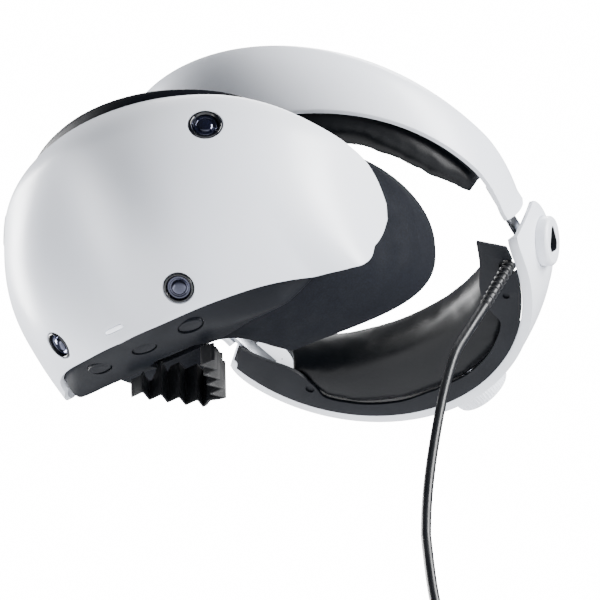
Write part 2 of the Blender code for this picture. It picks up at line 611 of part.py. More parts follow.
def smooth_path(points, count):
    """Catmull-Rom curve through the points, re-spaced evenly."""
    pts = [np.array(p, float) for p in points]
    pts = [2 * pts[0] - pts[1]] + pts + [2 * pts[-1] - pts[-2]]
    fine = []
    for a, b, c, d in zip(pts, pts[1:], pts[2:], pts[3:]):
        for t in np.linspace(0, 1, 30, endpoint=False):
            fine.append(0.5 * (2 * b + (c - a) * t + (2 * a - 5 * b + 4 * c - d) * t**2 + (3 * b - a - 3 * c + d) * t**3))
    fine.append(pts[-2])
    fine = np.array(fine)
    far = np.concatenate([[0], np.cumsum(np.linalg.norm(np.diff(fine, axis=0), axis=1))])
    want = np.linspace(0, far[-1], count)
    return np.stack([np.interp(want, far, fine[:, k]) for k in range(3)], axis=1)


def tube(name, path, radius, colour, roughness, sides=8):
    tangents = np.gradient(path, axis=0)
    tangents /= np.linalg.norm(tangents, axis=1, keepdims=True)
    side = Vector(tangents[0]).orthogonal().normalized()
    sections = []
    for point, way in zip(path, tangents):
        way = Vector(way)
        side = (side - way * side.dot(way)).normalized()
        up = way.cross(side)
        sections.append([list(Vector(point) + radius * (side * math.cos(2 * math.pi * k / sides)
                                                        + up * math.sin(2 * math.pi * k / sides)))
                         for k in range(sides)])
    return ring_solid(name, np.array(sections), colour, roughness)


coil_top = Vector((70.0, -18.0, -206.0))
way_points = [relief_end + lean * 0.3, (76.6, 27, -17.0), (73.6, 16.6, -35), (71.3, 4.6, -70), (70, -7.4, -118),
              (70, -13.0, -168), coil_top]
cord = tube("cord", smooth_path(way_points, 26), CORD_R, BLACK, 0.4)
coil_spot = coil_top - Vector((0, 0, COIL_R + COIL_TUBE + GAP))
turns = [(COIL_R + COIL_TUBE * math.cos(2 * math.pi * k / 10), COIL_TUBE * math.sin(2 * math.pi * k / 10))
         for k in range(10)]
turned("cord_coil", turns, coil_spot, (1, 0, 0), BLACK, 0.4, 20, loop=True)
tie_spot = coil_spot + Vector((0, COIL_R, 0))
turned("cord_tie", [(COIL_TUBE + 1.0, -5), (COIL_TUBE + 2.4, -5), (COIL_TUBE + 2.4, 5), (COIL_TUBE + 1.0, 5)],
       tie_spot, (0, 0, 1), BLACK, 0.8, 20, loop=True)
plug_top = coil_spot - Vector((0, 0, COIL_R + COIL_TUBE + GAP))
plug = block("cord_plug", plug_top + Vector((-5.5, -3.2, -24)), plug_top + Vector((5.5, 3.2, 0)), BLACK, 0.4)
tongue = block("tongue", plug_top + Vector((-4.2, -1.3, -31)), plug_top + Vector((4.2, 1.3, -23)), BLACK, 0.4)
cut(plug, tongue, join=True)
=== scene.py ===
import json
import math

import bmesh
import bpy
import numpy as np
from mathutils import Matrix, Vector

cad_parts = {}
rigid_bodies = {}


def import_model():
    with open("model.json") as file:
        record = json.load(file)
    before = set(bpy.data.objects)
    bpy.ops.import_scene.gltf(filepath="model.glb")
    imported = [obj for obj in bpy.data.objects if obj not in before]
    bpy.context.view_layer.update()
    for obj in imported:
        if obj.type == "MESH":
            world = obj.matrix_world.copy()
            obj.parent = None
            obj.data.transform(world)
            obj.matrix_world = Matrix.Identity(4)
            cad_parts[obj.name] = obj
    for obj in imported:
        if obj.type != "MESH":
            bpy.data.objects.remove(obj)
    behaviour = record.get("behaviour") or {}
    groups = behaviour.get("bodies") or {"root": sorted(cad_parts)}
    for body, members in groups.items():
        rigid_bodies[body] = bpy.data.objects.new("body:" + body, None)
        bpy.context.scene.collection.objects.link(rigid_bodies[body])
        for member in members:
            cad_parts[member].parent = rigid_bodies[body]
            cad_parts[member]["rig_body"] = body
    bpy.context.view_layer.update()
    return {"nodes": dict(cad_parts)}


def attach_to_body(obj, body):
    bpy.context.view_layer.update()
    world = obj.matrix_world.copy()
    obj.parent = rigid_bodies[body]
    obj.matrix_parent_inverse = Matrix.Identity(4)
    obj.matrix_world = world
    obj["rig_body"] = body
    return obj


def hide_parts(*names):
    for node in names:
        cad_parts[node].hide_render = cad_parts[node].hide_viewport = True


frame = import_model()
scene = bpy.context.scene
nodes = frame["nodes"]

# Lengths in the script are millimetres. X is the wearer's left, Y the back, Z up.
mm = 0.001
gap = 0.3
wall = 2.4
plate = dict(halfWidth=99.7, halfDepth=97.3, middleY=-82.6, end=104.5)
bandTilt = math.radians(25.77)
tiltCos, tiltSin = math.cos(bandTilt), math.sin(bandTilt)
rearHalfWidth, rearHalfDepth, rearMiddle = 101.0, 95.0, 7.8
print("frame loaded", len(nodes), "nodes")


# Camera, lights and floor.
studio = dict(
    cameraPlace=(706.90, -830.22, -571.63),
    cameraAxes=((0.7439, 0.6674, -0.0343), (0.3412, -0.3351, 0.8782), (0.5746, -0.6650, -0.4770)),
    lens=144.0, floorHeight=-760.0, floorHalf=4000.0,
    # name, place, aims at, width, height, watts
    lights=(("leftSoftbox", (-1500, -420, 420), (0, -60, 0), 700, 1300, 96),
            ("rightSoftbox", (1500, 260, 420), (40, -40, 0), 500, 1300, 92),
            ("topSoftbox", (-50, 500, 1450), (0, 60, 0), 1100, 800, 34),
            ("lowFill", (-500, -900, -600), (0, 0, -20), 900, 300, 3)),
    ambient=0.15)


def aimAt(place, target):
    return (Vector(target) - Vector(place)).to_track_quat("-Z", "Y")


def makeStudio(kit):
    right, up, back = (Vector(axis).normalized() for axis in kit["cameraAxes"])
    camera = bpy.data.objects.new("camera", bpy.data.cameras.new("camera"))
    camera.data.lens = kit["lens"]
    camera.data.sensor_width = 36
    camera.data.clip_start, camera.data.clip_end = 0.05, 30
    turn = Matrix((right, up, back)).transposed()
    camera.matrix_world = Matrix.Translation(Vector(kit["cameraPlace"]) * mm) @ turn.to_4x4()
    scene.collection.objects.link(camera)
    scene.camera = camera
    for name, place, target, width, height, watts in kit["lights"]:
        lamp = bpy.data.lights.new(name, "AREA")
        lamp.shape = "RECTANGLE"
        lamp.size, lamp.size_y, lamp.energy = width * mm, height * mm, watts
        holder = bpy.data.objects.new(name, lamp)
        holder.rotation_mode = "QUATERNION"
        holder.location = Vector(place) * mm
        holder.rotation_quaternion = aimAt(place, target)
        scene.collection.objects.link(holder)
    world = bpy.data.worlds.new("paleRoom")
    scene.world = world
    world.use_nodes = True
    tree = world.node_tree
    room = tree.nodes["Background"]
    room.inputs["Color"].default_value = (0.86, 0.91, 1.0, 1.0)
    room.inputs["Strength"].default_value = kit["ambient"]
    seen = addNode(tree, "ShaderNodeBackground", Color=(1, 1, 1, 1), Strength=16.0)
    path = addNode(tree, "ShaderNodeLightPath")
    mix = addNode(tree, "ShaderNodeMixShader", {0: path.outputs["Is Camera Ray"], 1: room.outputs[0],
                                                2: seen.outputs[0]})
    tree.links.new(mix.outputs[0], tree.nodes["World Output"].inputs["Surface"])
    half = kit["floorHalf"]
    floor = meshObject("floor", [(-half, -half, 0), (half, -half, 0), (half, half, 0), (-half, half, 0)],
                       [(0, 1, 2, 3)], "paleFloor")
    floor.location.z = kit["floorHeight"] * mm


# Materials.

# sRGB hex to linear.
def colourOf(code):
    parts = [int(code[k:k + 2], 16) / 255 for k in (1, 3, 5)]
    return tuple(c / 12.92 if c <= 0.04045 else ((c + 0.055) / 1.055) ** 2.4 for c in parts) + (1.0,)


# Adds a node; settings are properties or input values, links join outputs to inputs.
def addNode(tree, kind, links=None, **settings):
    node = tree.nodes.new(kind)
    for key, value in settings.items():
        if hasattr(node, key):
            setattr(node, key, value)
        else:
            node.inputs[key.replace("_", " ")].default_value = value
    for key, output in (links or {}).items():
        tree.links.new(output, node.inputs[key])
    return node


def newMaterial(name, colour, roughness, **sockets):
    made = bpy.data.materials.new(name)
    made.use_nodes = True
    shader = made.node_tree.nodes["Principled BSDF"]
    shader.inputs["Base Color"].default_value = colourOf(colour)
    shader.inputs["Roughness"].default_value = roughness
    for key, value in sockets.items():
        shader.inputs[key.replace("_", " ")].default_value = value
    return made, made.node_tree, shader


# Fine bump from noise whose grains are about sizeMm across.
def grain(tree, shader, place, sizeMm, depthMm, strength, detail=2.0):
    noise = addNode(tree, "ShaderNodeTexNoise", {"Vector": place}, Scale=1000.0 / (2 * sizeMm), Detail=detail)
    bump = addNode(tree, "ShaderNodeBump", {"Height": noise.outputs["Fac"]}, Strength=strength,
                   Distance=depthMm * mm)
    tree.links.new(bump.outputs["Normal"], shader.inputs["Normal"])
    return noise


def tintFrom(tree, shader, source, low, high, darkCode, lightCode):
    ramp = addNode(tree, "ShaderNodeValToRGB", {"Fac": source.outputs["Fac"]})
    for element, position, code in zip(ramp.color_ramp.elements, (low, high), (darkCode, lightCode)):
        element.position, element.color = position, colourOf(code)
    tree.links.new(ramp.outputs["Color"], shader.inputs["Base Color"])


# bump is grain size, depth and strength; shades is dark, light and size;
# dull is least, most and size. Sizes are in millimetres.
def finishOf(name, colour, roughness, bump=None, shades=None, dull=None, **sockets):
    made, tree, shader = newMaterial(name, colour, roughness, **sockets)
    place = addNode(tree, "ShaderNodeTexCoord").outputs["Object"]
    if bump:
        grain(tree, shader, place, *bump)
    if shades:
        cloud = addNode(tree, "ShaderNodeTexNoise", {"Vector": place}, Scale=1000.0 / (2 * shades[2]),
                        Detail=1.0)
        tintFrom(tree, shader, cloud, 0.35, 0.65, shades[0], shades[1])
    if dull:
        cloud = addNode(tree, "ShaderNodeTexNoise", {"Vector": place}, Scale=1000.0 / (2 * dull[2]),
                        Detail=3.0)
        span = addNode(tree, "ShaderNodeMapRange", {"Value": cloud.outputs["Fac"]}, To_Min=dull[0],
                       To_Max=dull[1], From_Min=0.3, From_Max=0.7)
        tree.links.new(span.outputs["Result"], shader.inputs["Roughness"])
    return made, tree, shader, place


# Silicone rubber from a grained mould: no gloss, and pores that show as a fine speckle.
def shieldRubber():
    made, tree, shader, place = finishOf("grainedSiliconeRubber", "#101319", 0.7, dull=(0.70, 0.86, 5),
                                         IOR=1.41, Specular_IOR_Level=0.16)
    noise = grain(tree, shader, place, 0.45, 0.04, 0.4, detail=3.0)
    tintFrom(tree, shader, noise, 0.38, 0.66, "#0C0E13", "#11141B")
    return made


# Polyurethane leather pressed over foam: smooth black skin with fine creases and a long soft highlight.
def leatherette():
    made, tree, shader, place = finishOf("pressedPolyurethaneLeather", "#06080C", 0.4, dull=(0.38, 0.46, 15),
                                         IOR=1.45, Specular_IOR_Level=0.2)
    cells = addNode(tree, "ShaderNodeTexVoronoi", {"Vector": place}, feature="DISTANCE_TO_EDGE",
                    Scale=1000.0 / 1.3)
    fine = addNode(tree, "ShaderNodeTexNoise", {"Vector": place}, Scale=1000.0 / 0.8, Detail=3.0)
    height = addNode(tree, "ShaderNodeMath", {0: cells.outputs["Distance"], 1: fine.outputs["Fac"]},
                     operation="MULTIPLY_ADD")
    height.inputs[2].default_value = 0.0
    bump = addNode(tree, "ShaderNodeBump", {"Height": height.outputs[0]}, Strength=0.35, Distance=0.06 * mm)
    tree.links.new(bump.outputs["Normal"], shader.inputs["Normal"])
    return made


# Woven nylon hook tape: matte black with a visible square weave, 0.8 mm to a thread.
def tieTape():
    made, tree, shader, place = finishOf("wovenNylonTape", "#17181C", 0.85, Sheen_Weight=0.3)
    waves = [addNode(tree, "ShaderNodeTexWave", {"Vector": place}, bands_direction=way,
                     Scale=1000.0 / (0.8 * 6.283)) for way in ("Z", "X")]
    both = addNode(tree, "ShaderNodeMath", {k: wave.outputs["Fac"] for k, wave in enumerate(waves)},
                   operation="MAXIMUM")
    bump = addNode(tree, "ShaderNodeBump", {"Height": both.outputs[0]}, Strength=0.7, Distance=0.2 * mm)
    tree.links.new(bump.outputs["Normal"], shader.inputs["Normal"])
    return made


finishes = {key: finishOf(*given, **sockets)[0] for key, sockets, given in (
    # Satin ABS from a fine-blasted mould: a cool white with a broad soft highlight and faint grain.
    ("whitePlastic", dict(IOR=1.53), ("mouldedSatinWhiteAbs", "#E6E9F1", 0.34, (0.45, 0.012, 0.25),
                                      ("#E1E5EE", "#E8EBF2", 45), (0.30, 0.38, 12))),
    # Polycarbonate blend from a spark-eroded mould: blue-black, with a dry, even grain.
    ("darkPlastic", dict(IOR=1.5, Specular_IOR_Level=0.16),
     ("sparkTexturedPolycarbonate", "#0C0F15", 0.5, (0.4, 0.03, 0.45), ("#0A0D13", "#0F1218", 20),
      (0.44, 0.56, 8))),
    # Polished black acrylic: a hard, wet-looking edge highlight.
    ("glossDarkPlastic", dict(IOR=1.49), ("polishedBlackAcrylic", "#0C0E13", 0.12, (3.0, 0.01, 0.1), None,
                                          (0.08, 0.16, 6))),
    # Thin soft silicone, as moulded: near black, with a slight sheen on its folds.
    ("flapRubber", dict(IOR=1.41), ("softBlackSilicone", "#0A0C10", 0.5, (0.5, 0.03, 0.4), None,
                                    (0.48, 0.62, 4))),
    # Extruded thermoplastic elastomer: smooth and dark, with a faint mottle.
    ("cordJacket", dict(IOR=1.5), ("extrudedElastomerJacket", "#0B0D11", 0.36, (0.8, 0.02, 0.3), None,
                                   (0.33, 0.45, 5))),
    # Coated glass over a dark well: a deep blue-black with sharp small highlights.
    ("cameraGlass", dict(IOR=1.52, Coat_Weight=1.0, Coat_Tint=colourOf("#B9C4FF")),
     ("coatedCameraGlass", "#0A0C14", 0.03, None, None, (0.02, 0.05, 3))),
    # Polished acrylic lens: clear, with a slight ripple.
    ("lensGlass", dict(IOR=1.49, Transmission_Weight=0.92),
     ("ribbedLensAcrylic", "#F2F6FA", 0.04, (5 / 3, 0.02, 0.05))),
    # Cover glass over an unlit panel: mirror black with a blue cast.
    ("displayGlass", dict(IOR=1.52, Coat_Weight=0.6),
     ("unlitDisplayGlass", "#07090F", 0.05, None, None, (0.04, 0.09, 4))),
    # Epoxy glass board under solder mask: dark green with a slight mottle.
    ("circuitBoard", dict(IOR=1.5), ("solderMaskedEpoxyGlass", "#12402A", 0.35, (0.6, 0.02, 0.3),
                                     ("#0F3824", "#174A31", 6))),
    # Extruded aluminium, left bare: pale grey with a fine even grain.
    ("aluminium", dict(Metallic=1.0), ("extrudedBareAluminium", "#C9CCD1", 0.35, (0.5, 0.02, 0.3), None,
                                       (0.28, 0.42, 3))),
    # Ground spring steel: cool grey with a tight sheen.
    ("steel", dict(Metallic=1.0), ("groundSpringSteel", "#A9ADB4", 0.3, (0.3, 0.01, 0.3), None,
                                   (0.24, 0.38, 4))),
    # Frosted acrylic lit from behind: an even milky glow.
    ("lightPipe", dict(IOR=1.49, Emission_Color=colourOf("#F2F6FF"), Emission_Strength=0.9),
     ("frostedAcrylicLightPipe", "#F4F7FF", 0.4, (0.4, 0.01, 0.2))),
    # Matte painted sweep: an even pale grey.
    ("paleFloor", {}, ("mattePaintedSweep", "#E9EAEC", 0.8, (8.0, 0.1, 0.1))))}
finishes.update(shieldRubber=shieldRubber(), leatherette=leatherette(), tieTape=tieTape())
print("materials made", len(finishes))


# Mesh helpers.
def meshObject(name, verts, faces, finish):
    mesh = bpy.data.meshes.new(name)
    mesh.from_pydata([tuple(float(c) * mm for c in v) for v in verts], [],
                     [tuple(int(k) for k in f) for f in faces])
    work = bmesh.new()
    work.from_mesh(mesh)
    bmesh.ops.remove_doubles(work, verts=work.verts, dist=1e-7)
    bmesh.ops.recalc_face_normals(work, faces=work.faces)
    work.to_mesh(mesh)
    work.free()
    mesh.shade_smooth()
    mesh.materials.append(finishes[finish])
    made = bpy.data.objects.new(name, mesh)
    scene.collection.objects.link(made)
    return made


def gridFaces(rows, cols, closed=False, start=0):
    last = rows if closed else rows - 1
    return [(start + i * cols + j, start + i * cols + j + 1, start + (i + 1) % rows * cols + j + 1,
             start + (i + 1) % rows * cols + j) for i in range(last) for j in range(cols - 1)]


# A wall between two point grids.
def shellObject(name, outer, inner, finish, closed=False):
    rows, cols = outer.shape[:2]
    count = rows * cols
    faces = gridFaces(rows, cols, closed) + gridFaces(rows, cols, closed, count)
    for i in range(rows if closed else rows - 1):
        a, b = i * cols, (i + 1) % rows * cols
        faces += [(a + j, b + j, count + b + j, count + a + j) for j in (0, cols - 1)]
    if not closed:
        for i in (0, rows - 1):
            a = i * cols
            faces += [(a + j, a + j + 1, count + a + j + 1, count + a + j) for j in range(cols - 1)]
    return meshObject(name, list(outer.reshape(-1, 3)) + list(inner.reshape(-1, 3)), faces, finish)


# A solid through closed cross-sections.
def sweptObject(name, sections, finish):
    rows, cols = sections.shape[:2]
    faces = []
    for a in range(0, (rows - 1) * cols, cols):
        b = a + cols
        faces += [(a + j, a + (j + 1) % cols, b + (j + 1) % cols, b + j) for j in range(cols)]
    faces += [tuple(range(cols)), tuple(range((rows - 1) * cols, rows * cols))]
    return meshObject(name, list(sections.reshape(-1, 3)), faces, finish)


def axisFrame(axis):
    axis = Vector(axis).normalized()
    side = axis.orthogonal().normalized()
    return side, axis.cross(side), axis


# A turned piece; profile is (radius, height along the axis).
def turnedObject(name, profile, centre, axis, finish, steps=64, loop=False):
    side, up, axis = axisFrame(axis)
    centre = Vector(centre)
    verts, faces, rows = [], [], []
    for radius, height in profile:
        rows.append(len(verts))
        for k in range(steps):
            turn = 2 * math.pi * k / steps
            verts.append(centre + axis * height + max(radius,
                                                      1e-5) * (side * math.cos(turn) + up * math.sin(turn)))
    pairs = list(zip(rows, rows[1:])) + ([(rows[-1], rows[0])] if loop else [])
    for low, high in pairs:
        faces += [(low + k, low + (k + 1) % steps, high + (k + 1) % steps, high + k) for k in range(steps)]
    return meshObject(name, verts, faces, finish)


def prismObject(name, outline, centre, side, up, depth, finish):
    side, up, centre = Vector(side).normalized(), Vector(up).normalized(), Vector(centre)
    push = side.cross(up) * depth
    base = [centre + side * x + up * y for x, y in outline]
    count = len(outline)
    faces = [tuple(range(count)), tuple(range(count, 2 * count))]
    faces += [(k, (k + 1) % count, count + (k + 1) % count, count + k) for k in range(count)]
    return meshObject(name, base + [v + push for v in base], faces, finish)


def ovalOutline(halfX, halfY, count=64, power=2.0):
    turns = [2 * math.pi * k / count for k in range(count)]
    return [(halfX * math.copysign(abs(math.cos(t)) ** (2 / power), math.cos(t)),
             halfY * math.copysign(abs(math.sin(t)) ** (2 / power), math.sin(t))) for t in turns]


# Turns the modifiers into plain mesh.
def bake(obj):
    bpy.context.view_layer.update()
    graph = bpy.context.evaluated_depsgraph_get()
    made = bpy.data.meshes.new_from_object(obj.evaluated_get(graph))
    obj.modifiers.clear()
    obj.data = made
    return obj


def carve(obj, *cutters, join=False):
    material = obj.data.materials[0]
    for tool in cutters:
        step = obj.modifiers.new("carve", "BOOLEAN")
        step.operation = "UNION" if join else "DIFFERENCE"
        step.solver = "EXACT"
        step.object = tool
    bake(obj)
    for tool in cutters:
        bpy.data.objects.remove(tool, do_unlink=True)
    obj.data.materials.clear()
    obj.data.materials.append(material)
    for face in obj.data.polygons:
        face.material_index = 0
    return obj


# Rounds every edge sharper than the angle, as a moulded edge is.
def softenEdges(obj, width, angle=32, segments=3):
    step = obj.modifiers.new("softEdge", "BEVEL")
    step.width = width * mm
    step.segments = segments
    step.limit_method = "ANGLE"
    step.angle_limit = math.radians(angle)
    step.harden_normals = False
    bake(obj)
    obj.data.shade_smooth()
    obj.data.set_sharp_from_angle(angle=math.radians(50))
    return obj


def attach(obj, body, slot, *replaced):
    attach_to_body(obj, body)
    if replaced:
        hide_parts(*replaced)
    return obj


# A CAD node's own shape with merged faces, rounded edges and its finish.
def refine(node, finish, slot, edge):
    source = nodes[node]
    mesh = source.data.copy()
    work = bmesh.new()
    work.from_mesh(mesh)
    bmesh.ops.remove_doubles(work, verts=work.verts, dist=1e-6)
    bmesh.ops.dissolve_limit(work, angle_limit=math.radians(1.0), verts=work.verts, edges=work.edges)
    bmesh.ops.recalc_face_normals(work, faces=work.faces)
    work.to_mesh(mesh)
    work.free()
    mesh.materials.clear()
    mesh.materials.append(finishes[finish])
    made = bpy.data.objects.new(node + "_finished", mesh)
    scene.collection.objects.link(made)
    softenEdges(made, edge, segments=2)
    return attach(made, source["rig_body"], slot, node)


# A power that keeps the sign.
def signedPower(value, power):
    return np.sign(value) * np.abs(value) ** power


def spline(at, xs, ys):
    xs, ys = np.array(xs, float), np.array(ys, float)
    slope = np.gradient(ys, xs)
    at = np.clip(at, xs[0], xs[-1])
    k = np.clip(np.searchsorted(xs, at, side="right") - 1, 0, len(xs) - 2)
    width = xs[k + 1] - xs[k]
    t = (at - xs[k]) / width
    return ((2 * t**3 - 3 * t**2 + 1) * ys[k] + (t**3 - 2 * t**2 + t) * width * slope[k]
            + (-2 * t**3 + 3 * t**2) * ys[k + 1] + (t**3 - t**2) * width * slope[k + 1])


# A place in the band's tilted frame: v back along the band, n square to it.
def halo(x, v, n):
    return np.stack([x + 0 * v + 0 * n, v * tiltCos + n * tiltSin + 0 * x,
                     -v * tiltSin + n * tiltCos + 0 * x], axis=-1)


def haloSpot(x, v, n):
    return Vector(halo(np.array(x), np.array(v), np.array(n)).tolist())


def roundHole(radius, low, high, centre, axis, steps=72):
    profile = [(0, low), (radius, low), (radius, high), (0, high)]
    return turnedObject("hole", profile, centre, axis, "darkPlastic", steps)


def prismHole(outline, centre, side, up, depth):
    return prismObject("hole", outline, centre, side, up, depth, "darkPlastic")


makeStudio(studio)
print("studio made")


# The cable comes first.
cable = dict(exit=(88.0, 51.0, 26.2), reliefEnd=(80.0, 37.4, -0.4), radius=2.5, length=4500.0,
             way=((76.6, 27, -17.0), (73.6, 16.6, -35), (71.3, 4.6, -70), (70, -7.4, -118),
                  (70, -13.0, -168)),
             coilTop=(70.0, -18.0, -206.0), coilDrop=46.3, coilRadius=33.0, coilTube=13.3, relax=60)


# Catmull-Rom curve through the points, evenly spaced.
def smoothPath(points, spacing):
    pts = [np.array(p, float) for p in points]
    pts = [2 * pts[0] - pts[1]] + pts + [2 * pts[-1] - pts[-2]]
    fine = []
    for a, b, c, d in zip(pts, pts[1:], pts[2:], pts[3:]):
        for t in np.linspace(0, 1, 24, endpoint=False):
            fine.append(0.5 * (2 * b + (c - a) * t + (2 * a - 5 * b + 4 * c - d) * t**2
                               + (3 * b - a - 3 * c + d) * t**3))
    fine = np.array(fine + [pts[-2]])
    far = np.concatenate([[0], np.cumsum(np.linalg.norm(np.diff(fine, axis=0), axis=1))])
    want = np.linspace(0, far[-1], max(2, int(far[-1] / spacing)))
    return np.stack([np.interp(want, far, fine[:, k]) for k in range(3)], axis=1)


# The visible run, then turns wound in layers round a ring that stands in the Y-Z plane.
def cableRoute(kit):
    exit, end = np.array(kit["exit"]), np.array(kit["reliefEnd"])
    lean = (end - exit) / np.linalg.norm(end - exit)
    top = np.array(kit["coilTop"])
    run = smoothPath([end - lean * 6, end + lean * 0.3, *kit["way"], top + np.array([0, 0.6, 14.0])], 6.0)
    shown = np.linalg.norm(np.diff(run, axis=0), axis=1).sum()
    centre = top - np.array([0, 0, kit["coilDrop"]])
    pitch = 2 * kit["radius"] * 1.06
    # hexagonal stack of lanes inside the coil's round section
    lanes = []
    reach = kit["coilTube"] - kit["radius"] * 1.02
    for row in range(-3, 4):
        for col in range(-4, 5):
            across = (col + 0.5 * (row % 2)) * pitch
            out = row * pitch * 0.866
            if math.hypot(across, out) <= reach:
                lanes.append((round(out, 6), across))
    lanes.sort(key=lambda lane: (-lane[0], lane[1] if round(lane[0] / (pitch * 0.866)) % 2 else -lane[1]))
    coil, used = [], shown
    perTurn = 28
    lane = 0
    while used < kit["length"] and lane < len(lanes):
        out, across = lanes[lane]
        nextOut, nextAcross = lanes[min(lane + 1, len(lanes) - 1)]
        for k in range(perTurn):
            share = k / perTurn
            slip = np.clip((share - 0.72) / 0.28, 0, 1)
            slip = slip * slip * (3 - 2 * slip)
            radius = kit["coilRadius"] + out + (nextOut - out) * slip
            x = across + (nextAcross - across) * slip
            angle = math.pi / 2 - 2 * math.pi * share
            point = centre + np.array([x, radius * math.cos(angle), radius * math.sin(angle)])
            used += np.linalg.norm(point - (coil[-1] if coil else run[-1]))
            coil.append(point)
            if used >= kit["length"]:
                break
        lane += 1
    print("cable", round(used), "mm in", lane, "turns, lanes free", len(lanes) - lane)
    joined = np.concatenate([run[:-1], np.array(coil)])
    # relax the join so its bend isn't tight
    lo, hi = len(run) - 9, len(run) + 5
    for _ in range(kit["relax"]):
        inner = joined[1:-1] + 0.25 * (joined[:-2] - 2 * joined[1:-1] + joined[2:])
        joined[lo:hi] = inner[lo - 1:hi - 1]
    return joined, centre


cablePath, coilCentre = cableRoute(cable)
curve = bpy.data.curves.new("cableRun", "CURVE")
curve.dimensions = "3D"
line = curve.splines.new("POLY")
line.points.add(len(cablePath) - 1)
for point, place in zip(line.points, cablePath):
    point.co = (*[float(c) * mm for c in place], 1.0)
line.use_smooth = True
curve.bevel_depth = cable["radius"] * mm
curve.bevel_resolution = 4
curve.use_fill_caps = True
curve.materials.append(finishes["cordJacket"])
cableObject = bpy.data.objects.new("cable_run", curve)
scene.collection.objects.link(cableObject)
attach(cableObject, "rear", "cord_jacket", "cord", "cord_coil")

tieBand = dict(inner=13.5, outer=14.7, half=5.0)
tiePiece = turnedObject("cable_tie_band", [(tieBand["inner"], -tieBand["half"]),
                                           (tieBand["outer"], -tieBand["half"]),
                                           (tieBand["outer"], tieBand["half"]),
                                           (tieBand["inner"], tieBand["half"])],
                        coilCentre + np.array([0, cable["coilRadius"], 0]), (0, 0, 1), "tieTape",
                        48, loop=True)
softenEdges(tiePiece, 0.3)
attach(tiePiece, "rear", "tie_tape", "cord_tie")
plugTop = coilCentre - np.array([0, 0, cable["coilDrop"] + gap])
plugPiece = prismObject("cable_plug_shell", ovalOutline(5.5, 3.2, 48, 3.5), plugTop, (1, 0, 0), (0, 1, 0),
                        -24, "darkPlastic")
softenEdges(plugPiece, 0.8)
plugTongue = prismObject("tongue", ovalOutline(4.2, 1.3, 32, 4.0), plugTop - np.array([0, 0, 23]), (1, 0, 0),
                         (0, 1, 0), -8, "steel")
# the cord's end leaves the bundle between two turns
plugStub = turnedObject("stub", [(0, -1), (cable["radius"], -1), (cable["radius"], 9), (0, 9)], plugTop,
                        (0, 0, 1), "cordJacket", 32)
carve(plugPiece, plugTongue, join=True)
carve(plugPiece, plugStub, join=True)
attach(plugPiece, "rear", "plug_plastic", "cord_plug")
print("cable made")


# Visor plate.
def plateTop(theta):
    return spline(np.abs(theta), [0, 30, 50, 62, 75, 88, 96, 101, plate["end"]],
                  [50.7, 50, 47, 42.5, 36, 30.5, 25.5, 19, 12])


def plateLow(theta):
    return spline(np.abs(theta), [0, 14, 30, 45, 58, 72, 84, 92, 98, 102, plate["end"]],
                  [-57, -55.2, -49.0, -42.0, -37.2, -33.6, -29.3, -23, -14, -4.5, 3.5])


def platePoint(theta, z):
    turn = np.radians(theta)
    top = 12.3 * (np.clip(z - 25, 0, None) / 25.7) ** 2
    x = (plate["halfWidth"] - 0.6 * top) * np.sin(turn)
    y = plate["middleY"] - (plate["halfDepth"] - top) * np.cos(turn)
    tuck = 38.9 * (1 - np.clip((np.abs(theta) - 56) / 40, 0, 1) ** 1.2)
    share = np.clip(np.abs(theta) / 34, 0, 1)
    power = 1.4 + 1.9 * share * share * (3 - 2 * share)
    under = (np.clip(30 - z, 0, None) / (30 - plateLow(theta))) ** power
    return np.stack([x, y + tuck * under, z + 0 * x], axis=-1)


def plateNormal(theta, z):
    a = platePoint(theta + 0.4, z) - platePoint(theta - 0.4, z)
    b = platePoint(theta, z + 0.4) - platePoint(theta, z - 0.4)
    n = np.cross(a, b)
    return n / np.linalg.norm(n, axis=-1, keepdims=True)


def plateGrid(depth, rows=181, cols=49):
    theta = np.linspace(-plate["end"], plate["end"], rows)[:, None] + np.zeros((1, cols))
    t = np.linspace(0, 1, cols)[None, :]
    z = plateLow(theta) + t * (plateTop(theta) - plateLow(theta))
    return platePoint(theta, z) - depth * plateNormal(theta, z)


def thetaOf(x):
    return math.degrees(math.asin(x / plate["halfWidth"]))


frontPlate = shellObject("front_plate", plateGrid(0), plateGrid(wall), "whitePlastic")
cameras = dict(spots={"upper_left": (68.6, 27.0), "upper_right": (-68.6, 27.0),
                      "lower_left": (39.9, -44.0), "lower_right": (-39.9, -44.0)}, upper=7.7, lower=6.9)
holes, moulds = [], []
for label, (x, z) in cameras["spots"].items():
    theta = np.array(thetaOf(x))
    spot, out = platePoint(theta, np.array(z)), plateNormal(theta, np.array(z))
    wide = cameras["upper"] if "upper" in label else cameras["lower"]
    moulds.append((label, spot, out, wide))
    holes.append(turnedObject("hole", [(0, -9), (wide + gap, -9), (wide + gap, -0.9), (wide + 1.1, 0.4),
                                       (wide + 2.6, 3.0), (0, 3.0)], spot, out, "whitePlastic", 72))
ledSpot, ledOut = platePoint(np.array(0.0), np.array(-51.0)), plateNormal(np.array(0.0), np.array(-51.0))
ledUp = np.cross(ledOut, (1, 0, 0))
holes.append(prismHole(ovalOutline(5.6, 1.25, 48, 4), ledSpot + 4 * ledOut, (1, 0, 0), ledUp, -9))
carve(frontPlate, *holes)
softenEdges(frontPlate, 0.55)
attach(frontPlate, "visor", "white_shell", "front_shell")
lightBar = prismObject("status_light_bar", ovalOutline(5.3, 0.95, 48, 4), ledSpot + 0.1 * ledOut, (1, 0, 0),
                       ledUp, -2.2, "lightPipe")
softenEdges(lightBar, 0.25)
attach(lightBar, "visor", "light_pipe", "status_light")
